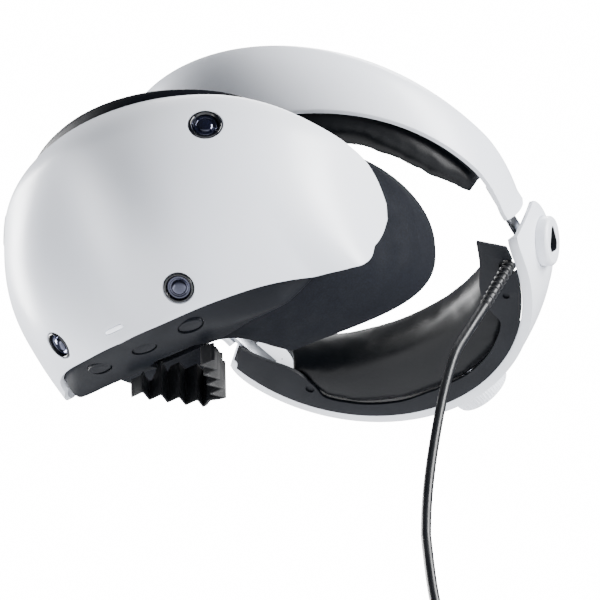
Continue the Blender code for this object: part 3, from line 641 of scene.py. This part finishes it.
for label, spot, out, wide in moulds:
    bezel = turnedObject("camera_ring_" + label,
                         [(0, -6), (wide - 0.3, -6), (wide, -5.7), (wide, -0.5), (wide - 0.25, -0.1),
                          (wide - 0.7, 0.0),
                          (wide - 1.1, -0.25), (6.05, -1.0), (5.9, -1.3), (5.9, -3.9), (0, -4)],
                         spot, out, "glossDarkPlastic")
    attach(bezel, "visor", "dark_plastic", "camera_bezel_" + label)
    # a domed front glass, with stepped rings round a small pupil under it
    glass = turnedObject("camera_glass_" + label,
                         [(0, -3.7), (5.6, -3.7), (5.6, -1.5), (5.2, -1.2), (4.4, -1.25), (4.3, -1.5),
                          (3.6, -1.7),
                          (3.5, -1.15), (3.0, -0.75), (2.2, -0.4), (1.2, -0.22), (0, -0.16)],
                         spot, out, "cameraGlass")
    softenEdges(glass, 0.08, segments=2)
    attach(glass, "visor", "camera_glass", "camera_lens_" + label)
print("plate and cameras made")


# Top cover and lower housing.
def rimPoint(alpha, halfX=86.0, halfZ=50.0, y=-96.0):
    turn = np.radians(alpha)
    x = halfX * signedPower(np.sin(turn), 0.85)
    z = 3.0 + halfZ * signedPower(np.cos(turn), 0.8)
    return np.stack([x, y + 12.0 * (np.abs(x) / halfX) ** 4, z], axis=-1)


def lidGrid(low, depth, rows=121, cols=41):
    end = 58.0 if low else 75.0
    theta = np.linspace(-end, end, rows)[:, None] + np.zeros((1, cols))
    s = np.linspace(0, 1, cols)[None, :] ** (1.0 if low else 1.5)
    edgeZ = plateLow(theta) + 1.2 if low else plateTop(theta) - 1.2
    start = platePoint(theta, edgeZ) - (wall + (1.2 if low else 1.5)) * plateNormal(theta, edgeZ)
    stop = rimPoint((180 - theta * 1.02) if low else theta * 1.02)
    mid = start + (stop - start) * s[..., None]
    if low:
        fade = np.clip((end - np.abs(theta)) / 12, 0, 1) ** 0.6
        mid[..., 2] += -(3.0 + 8.5 * np.sin(np.radians(2 * theta)) ** 2 * fade) * np.sin(math.pi * s) + depth
    else:
        swell = 16.5 * (1 - (1 - s) ** 2) * np.cos(np.radians(theta)) ** 0.7
        lip = 7.8 * np.clip(s * 14, 0, 1) * np.clip(1 - (theta / 48) ** 2, 0, 1) * (1 - s)
        mid[..., 2] += swell + lip - depth
    return mid


def housingHeight(x, y):
    grid = lidGrid(True, 0.0).reshape(-1, 3)
    near = np.argsort((grid[:, 0] - x) ** 2 + (grid[:, 1] - y) ** 2)[:4]
    return float(grid[near, 2].mean())


buttons = dict(x=30.0, y=-124.6, halfX=6.95, halfY=3.95, openX=7.3, openY=4.3)
housing = shellObject("lower_housing_shell", lidGrid(True, 0.0), lidGrid(True, wall), "darkPlastic")
noseOutline = [(-21, 40), (-21, 4), (-15, -8), (0, -13), (15, -8), (21, 4), (21, 40)]
down = ((1, 0, 0), (0, -1, 0))
buttonHole = ovalOutline(buttons["openX"], buttons["openY"])
carve(housing, prismHole([(x, -y) for x, y in noseOutline], (0, -98, -30), *down, 60),
      *[prismHole(buttonHole, (x, buttons["y"], -36), *down, 40) for x in (-buttons["x"], 0, buttons["x"])])
softenEdges(housing, 0.5)
attach(housing, "visor", "dark_plastic", "lower_housing")


# An oval cap with a rounded edge and a shallow finger dish that faces down.
def dishedButton(name, x, sunk, body, node):
    z = housingHeight(x, buttons["y"])
    rings = [(1.0, 3.5), (1.0, 0.6), (0.985, 0.3), (0.95, 0.1), (0.9, 0.0), (0.8, 0.05), (0.6, 0.2),
             (0.35, 0.38), (0.12, 0.46)]
    verts, faces = [], []
    count = 72
    outline = ovalOutline(buttons["halfX"], buttons["halfY"], count)
    for k, (share, lift) in enumerate(rings):
        verts += [(x + px * share, buttons["y"] + py * share, z + sunk + lift) for px, py in outline]
        if k:
            a, b = (k - 1) * count, k * count
            faces += [(a + j, a + (j + 1) % count, b + (j + 1) % count, b + j) for j in range(count)]
    faces += [tuple(range(count)), tuple(range((len(rings) - 1) * count, len(rings) * count))]
    cap = meshObject(name, verts, faces, "darkPlastic")
    cap.data.set_sharp_from_angle(angle=math.radians(60))
    return attach(cap, body, "dark_plastic", node)


dishedButton("function_button_cap", buttons["x"], 0.2, "function_button", "function_button")
dishedButton("power_button_cap", 0, 0.8, "power_button", "power_button")
dishedButton("microphone_grille", -buttons["x"], 0.2, "visor", "microphone_cap")

topLip = dict(rise=8.0, reach=62.0, inset=1.2)


# A proud lip that sits on the plate's top edge, then the dome behind it.
def coverGrid(depth):
    dome = lidGrid(False, depth)[:, 12:]
    theta = np.linspace(-75.0, 75.0, dome.shape[0])
    edgeZ = plateTop(theta)
    spot, out = platePoint(theta, edgeZ), plateNormal(theta, edgeZ)
    out[:, 2] = 0
    out /= np.linalg.norm(out, axis=1, keepdims=True)
    rise = topLip["rise"] * np.clip(1 - (np.abs(theta) / topLip["reach"]) ** 1.8, 0, 1)
    tall = np.clip(rise / 2, 0, 1)
    inset = topLip["inset"] + (wall + 1.5 - topLip["inset"]) * (1 - tall)
    rows = []
    for across, height in ((wall + 1.5, -1.2 + 0 * rise), (wall + 1.5, 0.35 + 0 * rise),
                           (inset, 0.35 + 0 * rise),
                           (inset + 0.1, 0.35 + rise * 0.5), (inset + 0.5, 0.35 + rise * 0.8),
                           (inset + 1.4, 0.35 + rise * 0.95), (inset + 3.0, 0.35 + rise)):
        place = spot - (across + depth + 0 * theta)[:, None] * out
        place[:, 2] = edgeZ + height - (depth * 0.8 if np.ndim(across) else 0)
        rows.append(place)
    return np.concatenate([np.stack(rows, axis=1), dome], axis=1)


cover = shellObject("top_cover_shell", coverGrid(0.0), coverGrid(wall), "darkPlastic")
releaseSpot, lensDialSpot = (-50, -128), (46, -122)
up = ((1, 0, 0), (0, 1, 0))
carve(cover, prismHole(buttonHole, (*releaseSpot, 40), *up, 40),
      roundHole(buttons["openX"], -20, 30, (*lensDialSpot, 55), (0, 0, 1), 64))
softenEdges(cover, 0.5)
attach(cover, "visor", "dark_plastic", "top_cover")
print("housing made")


# Light shield and nose flap.
shield = dict(crease=0.66, swell=0.055, thick=2.6)


def shieldEdge(alpha):
    turn = np.radians(alpha)
    upper = np.cos(turn) > 0
    x = 79.5 * signedPower(np.sin(turn), np.where(upper, 0.45, 0.9))
    z = 17.0 + np.where(upper, 47.5, 57.0) * signedPower(np.cos(turn), np.where(upper, 0.5, 0.8))
    y = -53 + 53 * (np.abs(x) / 80) ** 2.1 - np.where(z > 20, 0.022, 0.003) * (z - 20) ** 2 * (np.abs(x) / 80)
    arch = np.clip(1 - (np.abs(x) / 26) ** 2, 0, 1) * (np.cos(turn) < 0)
    dip = 11 * np.clip(1 - (x / 60) ** 2, 0, 1) * upper
    return np.stack([x, y - 26 * arch, z + 13 * arch - dip], axis=-1)


def shieldGrid(depth, rows=260, cols=37):
    # rows are closer together at the corners, where sin or cos passes zero
    even = np.linspace(0, 2 * math.pi, rows, endpoint=False)
    alpha = np.degrees(even - 0.16 * np.sin(4 * even))[:, None] + np.zeros((1, cols))
    s = np.linspace(0, 1, cols)[None, :]
    front, back = rimPoint(alpha, 83.0, 46.0, -92.0), shieldEdge(alpha)
    path = front + (back - front) * s[..., None]
    rise = np.where(s < shield["crease"], (s / shield["crease"]) ** 0.85,
                    1 - 0.75 * (np.clip(s - shield["crease"], 0, 1) / (1 - shield["crease"])) ** 1.25)
    wide = 1 + shield["swell"] * rise - depth / 75.0
    flat = path.copy()
    flat[..., 0] = path[..., 0] * wide
    flat[..., 2] = 5.0 + (path[..., 2] - 5.0) * (wide - depth / 110.0)
    return flat


shieldPiece = shellObject("light_shield_skirt", shieldGrid(0.0), shieldGrid(shield["thick"]), "shieldRubber",
                          closed=True)
softenEdges(shieldPiece, 0.9, angle=40, segments=4)
attach(shieldPiece, "visor", "shield_rubber", "light_shield")

flap = dict(front=(25.0, -108.0), back=(5.0, -79.0), fold=3.4, thick=1.3, bottom=-63.0)


def flapLine(offset, steps=8, fine=8):
    front, back = np.array(flap["front"]), np.array(flap["back"])
    mirror = np.array([-1.0, 1.0])
    run = []
    for count, a, b in ((steps, front * mirror, back * mirror), (2, back * mirror, back),
                        (steps, back, front)):
        side = np.array([(b - a)[1], -(b - a)[0]]) / np.linalg.norm(b - a)
        size = flap["fold"] * (0.35 if count == 2 else 1.0)
        for k in range(count * fine + (1 if a is back else 0)):
            share = k / fine
            wave = 2 / math.pi * math.asin(0.985 * math.cos(math.pi * share))
            run.append(a + (b - a) * k / (count * fine) + side * (-size * wave + offset))
    return np.array(run)


def flapGrid(line, cols=17):
    t = np.linspace(0, 1, cols)[None, :]
    top = -54.0 + 8.0 * np.clip((20.0 - np.abs(line[:, 0:1])) / 5.0, 0, 1)
    low = flap["bottom"] - 3.0 * (108 + line[:, 1:2]) / 33
    z = top + (low - top) * t
    # each pleat bows a little between its top and its free edge
    bow = 0.5 * np.sin(math.pi * t)
    return np.stack([line[:, 0:1] * (1 + bow * 0.02), line[:, 1:2] + 0 * t, z], axis=-1)


flapPiece = shellObject("nose_flap_pleats", flapGrid(flapLine(0.0)), flapGrid(flapLine(flap["thick"])),
                        "flapRubber")
softenEdges(flapPiece, 0.25, angle=50, segments=2)
attach(flapPiece, "visor", "shield_rubber", "nose_flap")
print("light shield and flap made")


# Front band.
band = dict(middle=-3.7, end=100.5)


def bandPoint(phi, t, depth=0.0):
    turn = np.radians(phi)
    rise = np.sin(turn) ** 2
    low, top = 31 + 24.0 * rise, 67 + 12.0 * rise
    tip = np.clip((np.abs(phi) - 82) / 16, 0, 1)
    n = low + t * (top - low)
    n = n + tip**2 * (68.5 - n) * 0.12
    bulge = np.sin(np.clip(t, 0, 1) * math.pi * 0.62) ** 0.9
    b = 110.6 + 26.5 * bulge - 2.0 * np.clip(t - 0.8, 0, 1) * 12
    a = 104.5 + 2.0 * bulge - 1.5 * np.clip(t - 0.8, 0, 1) - 5.5 * tip**1.5
    spread = 1 + 0.02 * np.sin(2 * turn) ** 2
    return halo((a * spread - depth) * np.sin(turn), band["middle"] - (b * spread - depth) * np.cos(turn), n)


def bandGrid(depth, rows=181, cols=33):
    phi = np.linspace(-band["end"], band["end"], rows)[:, None] + np.zeros((1, cols))
    t = np.linspace(0, 1, cols)[None, :] ** 1.3 + np.zeros((rows, 1))
    return bandPoint(phi, t, depth)


bandPiece = shellObject("band_outer_shell", bandGrid(0.0), bandGrid(wall), "whitePlastic")
softenEdges(bandPiece, 0.7)
attach(bandPiece, "band", "white_shell", "band_shell")


# Soft pads, blown up as cloth.

# Voxel remesh, cloth under pressure, then the movement is capped and the mesh subdivided.
def inflate(obj, voxel, pressure, cap, frames=20):
    step = obj.modifiers.new("evenMesh", "REMESH")
    step.mode = "VOXEL"
    step.voxel_size = voxel * mm
    bake(obj)
    before = np.array([v.co for v in obj.data.vertices])
    cloth = obj.modifiers.new("cloth", "CLOTH")
    cloth.settings.quality = 4
    cloth.settings.mass = 0.3
    cloth.settings.use_pressure = True
    cloth.settings.uniform_pressure_force = pressure
    cloth.settings.effector_weights.gravity = 0
    cloth.point_cache.frame_start, cloth.point_cache.frame_end = 1, frames
    for number in range(1, frames + 1):
        scene.frame_set(number)
    graph = bpy.context.evaluated_depsgraph_get()
    after = np.array([v.co for v in obj.evaluated_get(graph).data.vertices])
    obj.modifiers.clear()
    move = after - before
    move -= move.mean(axis=0)
    size = np.linalg.norm(move, axis=1, keepdims=True)
    move *= np.minimum(1, cap * mm / np.maximum(size, 1e-9))
    obj.data.vertices.foreach_set("co", (before + move).ravel())
    scene.frame_set(1)
    print(obj.name, "swelled", round(float(np.median(size)) * 1000, 2), "mm, capped at", cap)
    step = obj.modifiers.new("smooth", "SMOOTH")
    step.factor, step.iterations = 0.5, 1
    step = obj.modifiers.new("finer", "SUBSURF")
    step.levels = step.render_levels = 1
    bake(obj)
    obj.data.shade_smooth()
    return obj


foreheadPad = dict(end=88, thick=17.0, low=-0.16, high=0.80, start=wall + 4.2)


def padSections(kit, rows=120, cols=40, shrink=0.8):
    phi = kit["end"] * np.sin(np.radians(np.linspace(-90, 90, rows)))
    full = np.clip(1 - (np.abs(phi) / (kit["end"] + 0.5)) ** 6, 0.06, 1) ** 0.5
    sections = []
    for angle, scale in zip(phi, full):
        turn = np.linspace(0, 2 * math.pi, cols, endpoint=False)
        across = signedPower(np.cos(turn), 0.6)
        deep = signedPower(np.sin(turn), 0.6)
        foot = kit["low"] - 0.17 * min(max((abs(angle) - 48) / 24, 0), 1)
        t = (foot + kit["high"]) / 2 + (kit["high"] - foot - 0.03) / 2 * across * (0.55 + 0.45 * scale)
        depth = kit["start"] + shrink + (kit["thick"] - 2 * shrink) * scale * (0.5 + 0.5 * deep)
        sections.append(bandPoint(np.full(cols, angle), t, depth))
    return np.array(sections)


browPad = sweptObject("forehead_cushion", padSections(foreheadPad), "leatherette")
inflate(browPad, 4.0, 4.0, 1.2)
attach(browPad, "band", "soft_pad", "forehead_pad")

rearPad = dict(end=86.0, middle=62.5, half=19.0, rise=5.0, climb=9.0)


def padOuter(psi):
    a = np.abs(psi)
    x = np.sign(psi) * spline(a, [0, 20, 36, 46, 56, 64, 74, 86], [0, 28, 51, 63, 65, 68, 78, 86.5])
    v = spline(a, [0, 20, 36, 46, 56, 64, 74, 86], [91, 88, 78, 67, 55, 43, 29, 14])
    return x, v


def padInner(psi):
    turn = np.radians(psi)
    return 83.5 * np.sin(turn), 13.5 + 39.0 * np.cos(turn)


def rearPadSections(kit, rows=110, cols=44, shrink=0.3):
    sections = []
    for angle in kit["end"] * np.sin(np.radians(np.linspace(-85, 85, rows))):
        x1, v1 = padOuter(angle)
        x0, v0 = padInner(angle)
        thin = (1 - (abs(angle) / kit["end"]) ** 6) ** 0.5
        rise = kit["rise"] * min(max((abs(angle) - 58) / 22, 0), 1)
        turn = np.linspace(0, 2 * math.pi, cols, endpoint=False)
        w, h = np.cos(turn), np.sin(turn)
        w, h = signedPower(w, np.where(w > 0, 0.45, 0.85)), signedPower(h, 0.55)
        width = math.hypot(x1 - x0, v1 - v0)
        w = 0.5 + (0.5 - shrink / width) * w * thin
        n = kit["middle"] + rise + (kit["half"] - shrink + 0.5 * rise) * h * (0.3 + 0.7 * thin)
        n = n + kit["climb"] * np.clip((abs(angle) - 66) / 20, 0, 1) ** 2 * (h > 0) * h
        sections.append(halo(x0 + (x1 - x0) * w, v0 + (v1 - v0) * w, n))
    return np.array(sections)


neckPad = sweptObject("rear_cushion", rearPadSections(rearPad), "leatherette")
inflate(neckPad, 4.5, 4.0, 1.2)
attach(neckPad, "rear", "soft_pad", "rear_pad")
print("pads made")


# Rear unit.
rear = dict(low=44.5, top=85.0, end=80.5, hub=(67.5, 71.5), dialHeight=76.0, lip=3.0)


def rearOuter(psi, n, depth=0.0):
    turn = np.radians(psi)
    swell = 3.5 * np.sin(np.clip((n - rear["low"]) / 40, 0, 1) * math.pi * 0.6) ** 1.2
    reach = swell - depth
    return halo((rearHalfWidth + reach) * np.sin(turn), rearMiddle + (rearHalfDepth + reach) * np.cos(turn),
                n)


def rearGrid(depth, rows=181, cols=37):
    psi = np.linspace(-rear["end"], rear["end"], rows)[:, None] + np.zeros((1, cols))
    t = np.linspace(0, 1, cols)[None, :]
    ends = np.clip((np.abs(psi) - 62) / (rear["end"] + 1.5 - 62), 0, 1)
    top = rear["top"] + 9 * np.cos(np.radians(psi)) ** 4 - 15 * (1 - np.sqrt(1 - ends**3.5))
    foot = rear["low"] + 9 * (1 - np.sqrt(1 - ends**5))
    if depth:
        depth = depth + rear["lip"] * np.clip(1 - t * 9, 0, 1)
    return rearOuter(psi, foot + t * (top - foot), depth)


rearShell = shellObject("rear_outer_shell", rearGrid(0.0), rearGrid(wall), "whitePlastic")
rearOut = Vector((0, tiltCos, -tiltSin))
dialSpot = haloSpot(0.0, 0.0, rear["dialHeight"])
cutters = [roundHole(3.6, 85, 125, dialSpot, rearOut, 48)]
drums = []
for label, side in (("left", 1), ("right", -1)):
    spot = Vector(rearOuter(np.array(side * rear["hub"][0]), np.array(rear["hub"][1])).tolist())
    out = haloSpot(0.91 * side, 0.415, 0.0).normalized()
    drums.append((label, spot, out))
    cutters.append(roundHole(13.3, -8, 8, spot, out))
carve(rearShell, *cutters)
softenEdges(rearShell, 0.6)
rearShell.data.materials.append(finishes["darkPlastic"])
for face in rearShell.data.polygons:
    middle = np.array(face.center) / mm
    radial = np.array([middle[0], middle[1] - 55])
    radial /= np.linalg.norm(radial)
    if face.normal.x * radial[0] + face.normal.y * radial[1] < -0.62:
        face.material_index = 1
attach(rearShell, "rear", "white_shell", "rear_shell")
for label, spot, out in drums:
    drum = turnedObject("earbud_drum_" + label, [(0, -3.0), (13, -3.0), (13, 3.6), (11.8, 5.0), (0, 5.0)],
                        spot, out, "whitePlastic", 96)
    side = Vector((0, -tiltSin, -tiltCos)).cross(out).normalized()
    rise = out.cross(side).normalized()
    socket = []
    for k in range(3):
        centre = math.pi / 2 + 2 * math.pi * k / 3
        socket += [(4.2 * math.cos(centre) + 3.4 * math.cos(centre + a),
                    4.2 * math.sin(centre) + 3.4 * math.sin(centre + a)) for a in np.linspace(-1.0, 1.0, 15)]
    carve(drum, prismHole(socket, spot - out * 0.8, side, rise, 9))
    softenEdges(drum, 0.45)
    drum.data.materials.append(finishes["darkPlastic"])
    for face in drum.data.polygons:
        inward = (Vector(face.center) / mm - spot)
        along = inward.dot(out)
        if (inward - out * along).length < 8.2 and along < 4.6:
            face.material_index = 1
    attach(drum, "rear", "white_shell", "earbud_dock_" + label)


coverPlate = dict(half=84, span=79.5, low=43.4, high=45.4, holes=((-64.8, 54.9, 2.6), (74.9, 49.9, 1.9)))


def coverSections(rows=161):
    psi = np.linspace(-coverPlate["half"], coverPlate["half"], rows)
    ox, ov = padOuter(psi)
    turn = np.radians(psi * coverPlate["span"] / coverPlate["half"])
    rimX = (rearHalfWidth - wall - gap - rear["lip"]) * np.sin(turn)
    rimV = rearMiddle + (rearHalfDepth - wall - gap - rear["lip"]) * np.cos(turn)
    inward = np.stack([ox - rimX, ov - rimV], axis=1)
    inward /= np.linalg.norm(inward, axis=1, keepdims=True)
    edge = np.stack([ox, ov], axis=1) + inward * 4
    low, high = coverPlate["low"], coverPlate["high"]
    return np.array([[halo(np.array(x), np.array(v), np.array(n)).tolist()
                      for x, v, n in ((x0, v0, low), (x1, v1, low), (x1, v1, high), (x0, v0, high))]
                     for (x0, v0), x1, v1 in zip(edge, rimX, rimV)])


cover = sweptObject("rear_underside_cover", coverSections(), "darkPlastic")
exitSpot, reliefEnd = Vector(cable["exit"]), Vector(cable["reliefEnd"])
lean = (reliefEnd - exitSpot).normalized()
carve(cover, roundHole(4.6, -9, 9, exitSpot, lean, 48))
upward = haloSpot(0.0, 0.0, 1.0)
for x, v, radius in coverPlate["holes"]:
    spot = haloSpot(x, v, coverPlate["low"])
    carve(cover, roundHole(radius, -3, 1.2, spot, upward, 40))
softenEdges(cover, 0.4)
attach(cover, "rear", "dark_plastic", "rear_cover")
print("rear unit made")


# Adjusting dial.
dial = dict(radius=17.0, knurls=60, knurlWidth=0.85, knurlHeight=7.4)
rim = dial["radius"]
dialBody = turnedObject(
    "adjust_dial_body",
    [(0, 92.5), (3.1, 92.5), (3.1, 108.5), (rim - 1.2, 108.5), (rim - 0.5, 108.9), (rim - 0.4, 109.6),
     (rim - 0.4, 117.4), (rim - 0.7, 118.4), (rim - 1.8, 119.0), (8.6, 119.0), (7.9, 118.5), (7.9, 113.0),
     (0, 113.0)], dialSpot, rearOut, "whitePlastic", 96)
dialBody.data.set_sharp_from_angle(angle=math.radians(35))
attach(dialBody, "dial", "white_shell", "adjust_dial")


# Sets a tree's named inputs through each socket's identifier.
def setInputs(modifier, tree, values):
    for item in tree.interface.items_tree:
        if item.item_type == "SOCKET" and item.in_out == "INPUT" and item.name in values:
            modifier[item.identifier] = values[item.name]


# Runs a tree on an empty mesh and gives the plain mesh it makes, put in place.
def grownByNodes(name, tree, values, place):
    holder = bpy.data.objects.new(name, bpy.data.meshes.new(name))
    scene.collection.objects.link(holder)
    modifier = holder.modifiers.new("grow", "NODES")
    modifier.node_group = tree
    setInputs(modifier, tree, values)
    bake(holder)
    holder.data.transform(place)
    holder.data.shade_smooth()
    holder.data.set_sharp_from_angle(angle=math.radians(40))
    return holder


def openTree(name, **inputs):
    tree = bpy.data.node_groups.new(name, "GeometryNodeTree")
    tree.interface.new_socket("Geometry", in_out="OUTPUT", socket_type="NodeSocketGeometry")
    for label, kind in {**inputs, "Finish": "Material"}.items():
        tree.interface.new_socket(label.replace("_", " "), in_out="INPUT", socket_type="NodeSocket" + kind)
    return tree, addNode(tree, "NodeGroupInput"), addNode(tree, "NodeGroupOutput")


def closeTree(tree, given, output, geometry):
    real = addNode(tree, "GeometryNodeRealizeInstances", {0: geometry})
    paint = addNode(tree, "GeometryNodeSetMaterial",
                    {"Geometry": real.outputs[0], "Material": given.outputs["Finish"]})
    tree.links.new(paint.outputs[0], output.inputs[0])


# Upright half-round bars set round a rim.
def knurlTree():
    tree, given, output = openTree("rimKnurls", Radius="Float", Count="Int", Bar_Radius="Float",
                                   Height="Float")
    ring = addNode(tree, "GeometryNodeCurvePrimitiveCircle", {"Resolution": given.outputs["Count"],
                                                              "Radius": given.outputs["Radius"]})
    bar = addNode(tree, "GeometryNodeMeshCylinder", {"Radius": given.outputs["Bar Radius"],
                                                     "Depth": given.outputs["Height"]}, Vertices=12)
    spread = addNode(tree, "GeometryNodeInstanceOnPoints", {"Points": ring.outputs["Curve"],
                                                            "Instance": bar.outputs["Mesh"]})
    closeTree(tree, given, output, spread.outputs[0])
    return tree


def placeAlong(spot, axis):
    side, across, axis = axisFrame(axis)
    turn = Matrix((side, across, axis)).transposed().to_4x4()
    return Matrix.Translation(Vector(spot) * mm) @ turn


knurls = grownByNodes("adjust_dial_knurls", knurlTree(),
                      {"Radius": (rim - 0.62) * mm, "Count": dial["knurls"],
                       "Bar Radius": dial["knurlWidth"] / 2 * mm,
                       "Height": dial["knurlHeight"] * mm, "Finish": finishes["whitePlastic"]},
                      placeAlong(dialSpot + rearOut * 113.5, rearOut))
attach(knurls, "dial", "white_shell")
releaseCap = turnedObject(
    "rear_release_cap",
    [(0, 115.0), (7.4, 115.0), (7.4, 118.6), (7.2, 119.2), (6.6, 119.6), (5.0, 119.35),
     (2.5, 119.15), (0, 119.1)],
    dialSpot, rearOut, "whitePlastic")
releaseCap.data.set_sharp_from_angle(angle=math.radians(50))
attach(releaseCap, "rear_release", "white_shell", "rear_release")


# Strain relief: ribs on a tapered core.
relief = dict(ribs=9, bigRadius=3.55, smallRadius=3.05, ribThick=0.78, core=2.75)
reliefLength = (reliefEnd - exitSpot).length


# Rings set along a line, each a little smaller than the last.
def ribTree():
    tree, given, output = openTree("taperedRibs", Count="Int", Step="Vector", Ring_Radius="Float",
                                   Rib_Radius="Float", Taper="Float")
    row = addNode(tree, "GeometryNodeMeshLine", {"Count": given.outputs["Count"],
                                                 "Offset": given.outputs["Step"]})
    loop = addNode(tree, "GeometryNodeCurvePrimitiveCircle", {"Radius": given.outputs["Ring Radius"]},
                   Resolution=48)
    section = addNode(tree, "GeometryNodeCurvePrimitiveCircle", {"Radius": given.outputs["Rib Radius"]},
                      Resolution=14)
    ring = addNode(tree, "GeometryNodeCurveToMesh", {"Curve": loop.outputs["Curve"],
                                                     "Profile Curve": section.outputs["Curve"]})
    number = addNode(tree, "GeometryNodeInputIndex")
    less = addNode(tree, "ShaderNodeMath", {0: number.outputs[0], 1: given.outputs["Taper"]},
                   operation="MULTIPLY")
    size = addNode(tree, "ShaderNodeMath", {1: less.outputs[0]}, operation="SUBTRACT")
    size.inputs[0].default_value = 1.0
    spread = addNode(tree, "GeometryNodeInstanceOnPoints", {"Points": row.outputs["Mesh"],
                                                            "Instance": ring.outputs["Mesh"],
                                                            "Scale": size.outputs[0]})
    closeTree(tree, given, output, spread.outputs[0])
    return tree


ribStep = (reliefLength - 3.6) / (relief["ribs"] - 1)
ribs = grownByNodes("strain_relief_ribs", ribTree(),
                    {"Count": relief["ribs"], "Step": (0.0, 0.0, ribStep * mm),
                     "Ring Radius": (relief["bigRadius"] - relief["ribThick"]) * mm,
                     "Rib Radius": relief["ribThick"] * mm,
                     "Taper": (1 - relief["smallRadius"] / relief["bigRadius"]) / (relief["ribs"] - 1),
                     "Finish": finishes["cordJacket"]},
                    placeAlong(exitSpot + lean * 1.9, lean))
attach(ribs, "rear", "cord_jacket")
core = turnedObject("strain_relief_core", [(0, 0.4), (3.6, 0.4), (3.3, 1.2), (relief["core"], 2.0),
                                           (2.62, reliefLength - 1.0),
                                           (2.55, reliefLength - 0.4), (0, reliefLength - 0.4)],
                    exitSpot, lean, "cordJacket", 48)
attach(core, "rear", "cord_jacket", "strain_relief")
print("dial and strain relief made")


# The rest keep their CAD shape, with rounded edges and a finish.
slots = dict(darkPlastic="dark_plastic", steel="steel", lensGlass="eye_glass", displayGlass="display_glass",
             circuitBoard="circuit_board", aluminium="bare_aluminium")
for node, finish, edge in (
        ("band_frame", "darkPlastic", 0.3), ("slide_rail", "steel", 0.4), ("rail_sleeve", "darkPlastic", 0.5),
        ("band_arm_left", "steel", 0.4), ("band_arm_right", "steel", 0.4),
        ("inner_frame", "darkPlastic", 0.4),
        ("lens_barrel_left", "darkPlastic", 0.3), ("lens_barrel_right", "darkPlastic", 0.3),
        ("eye_lens_left", "lensGlass", 0.2), ("eye_lens_right", "lensGlass", 0.2),
        ("display_panel_left", "displayGlass", 0.3), ("display_panel_right", "displayGlass", 0.3),
        ("main_board", "circuitBoard", 0.2), ("heat_sink", "aluminium", 0.2),
        ("fan_housing", "darkPlastic", 0.3), ("fan_rotor", "darkPlastic", 0.1),
        ("vibration_motor", "steel", 0.4), ("scope_release", "darkPlastic", 0.4),
        ("lens_dial", "darkPlastic", 0.4), ("dial_pinion", "steel", 0.3)):
    refine(node, finish, slots[finish], edge)
print("inner pieces finished")
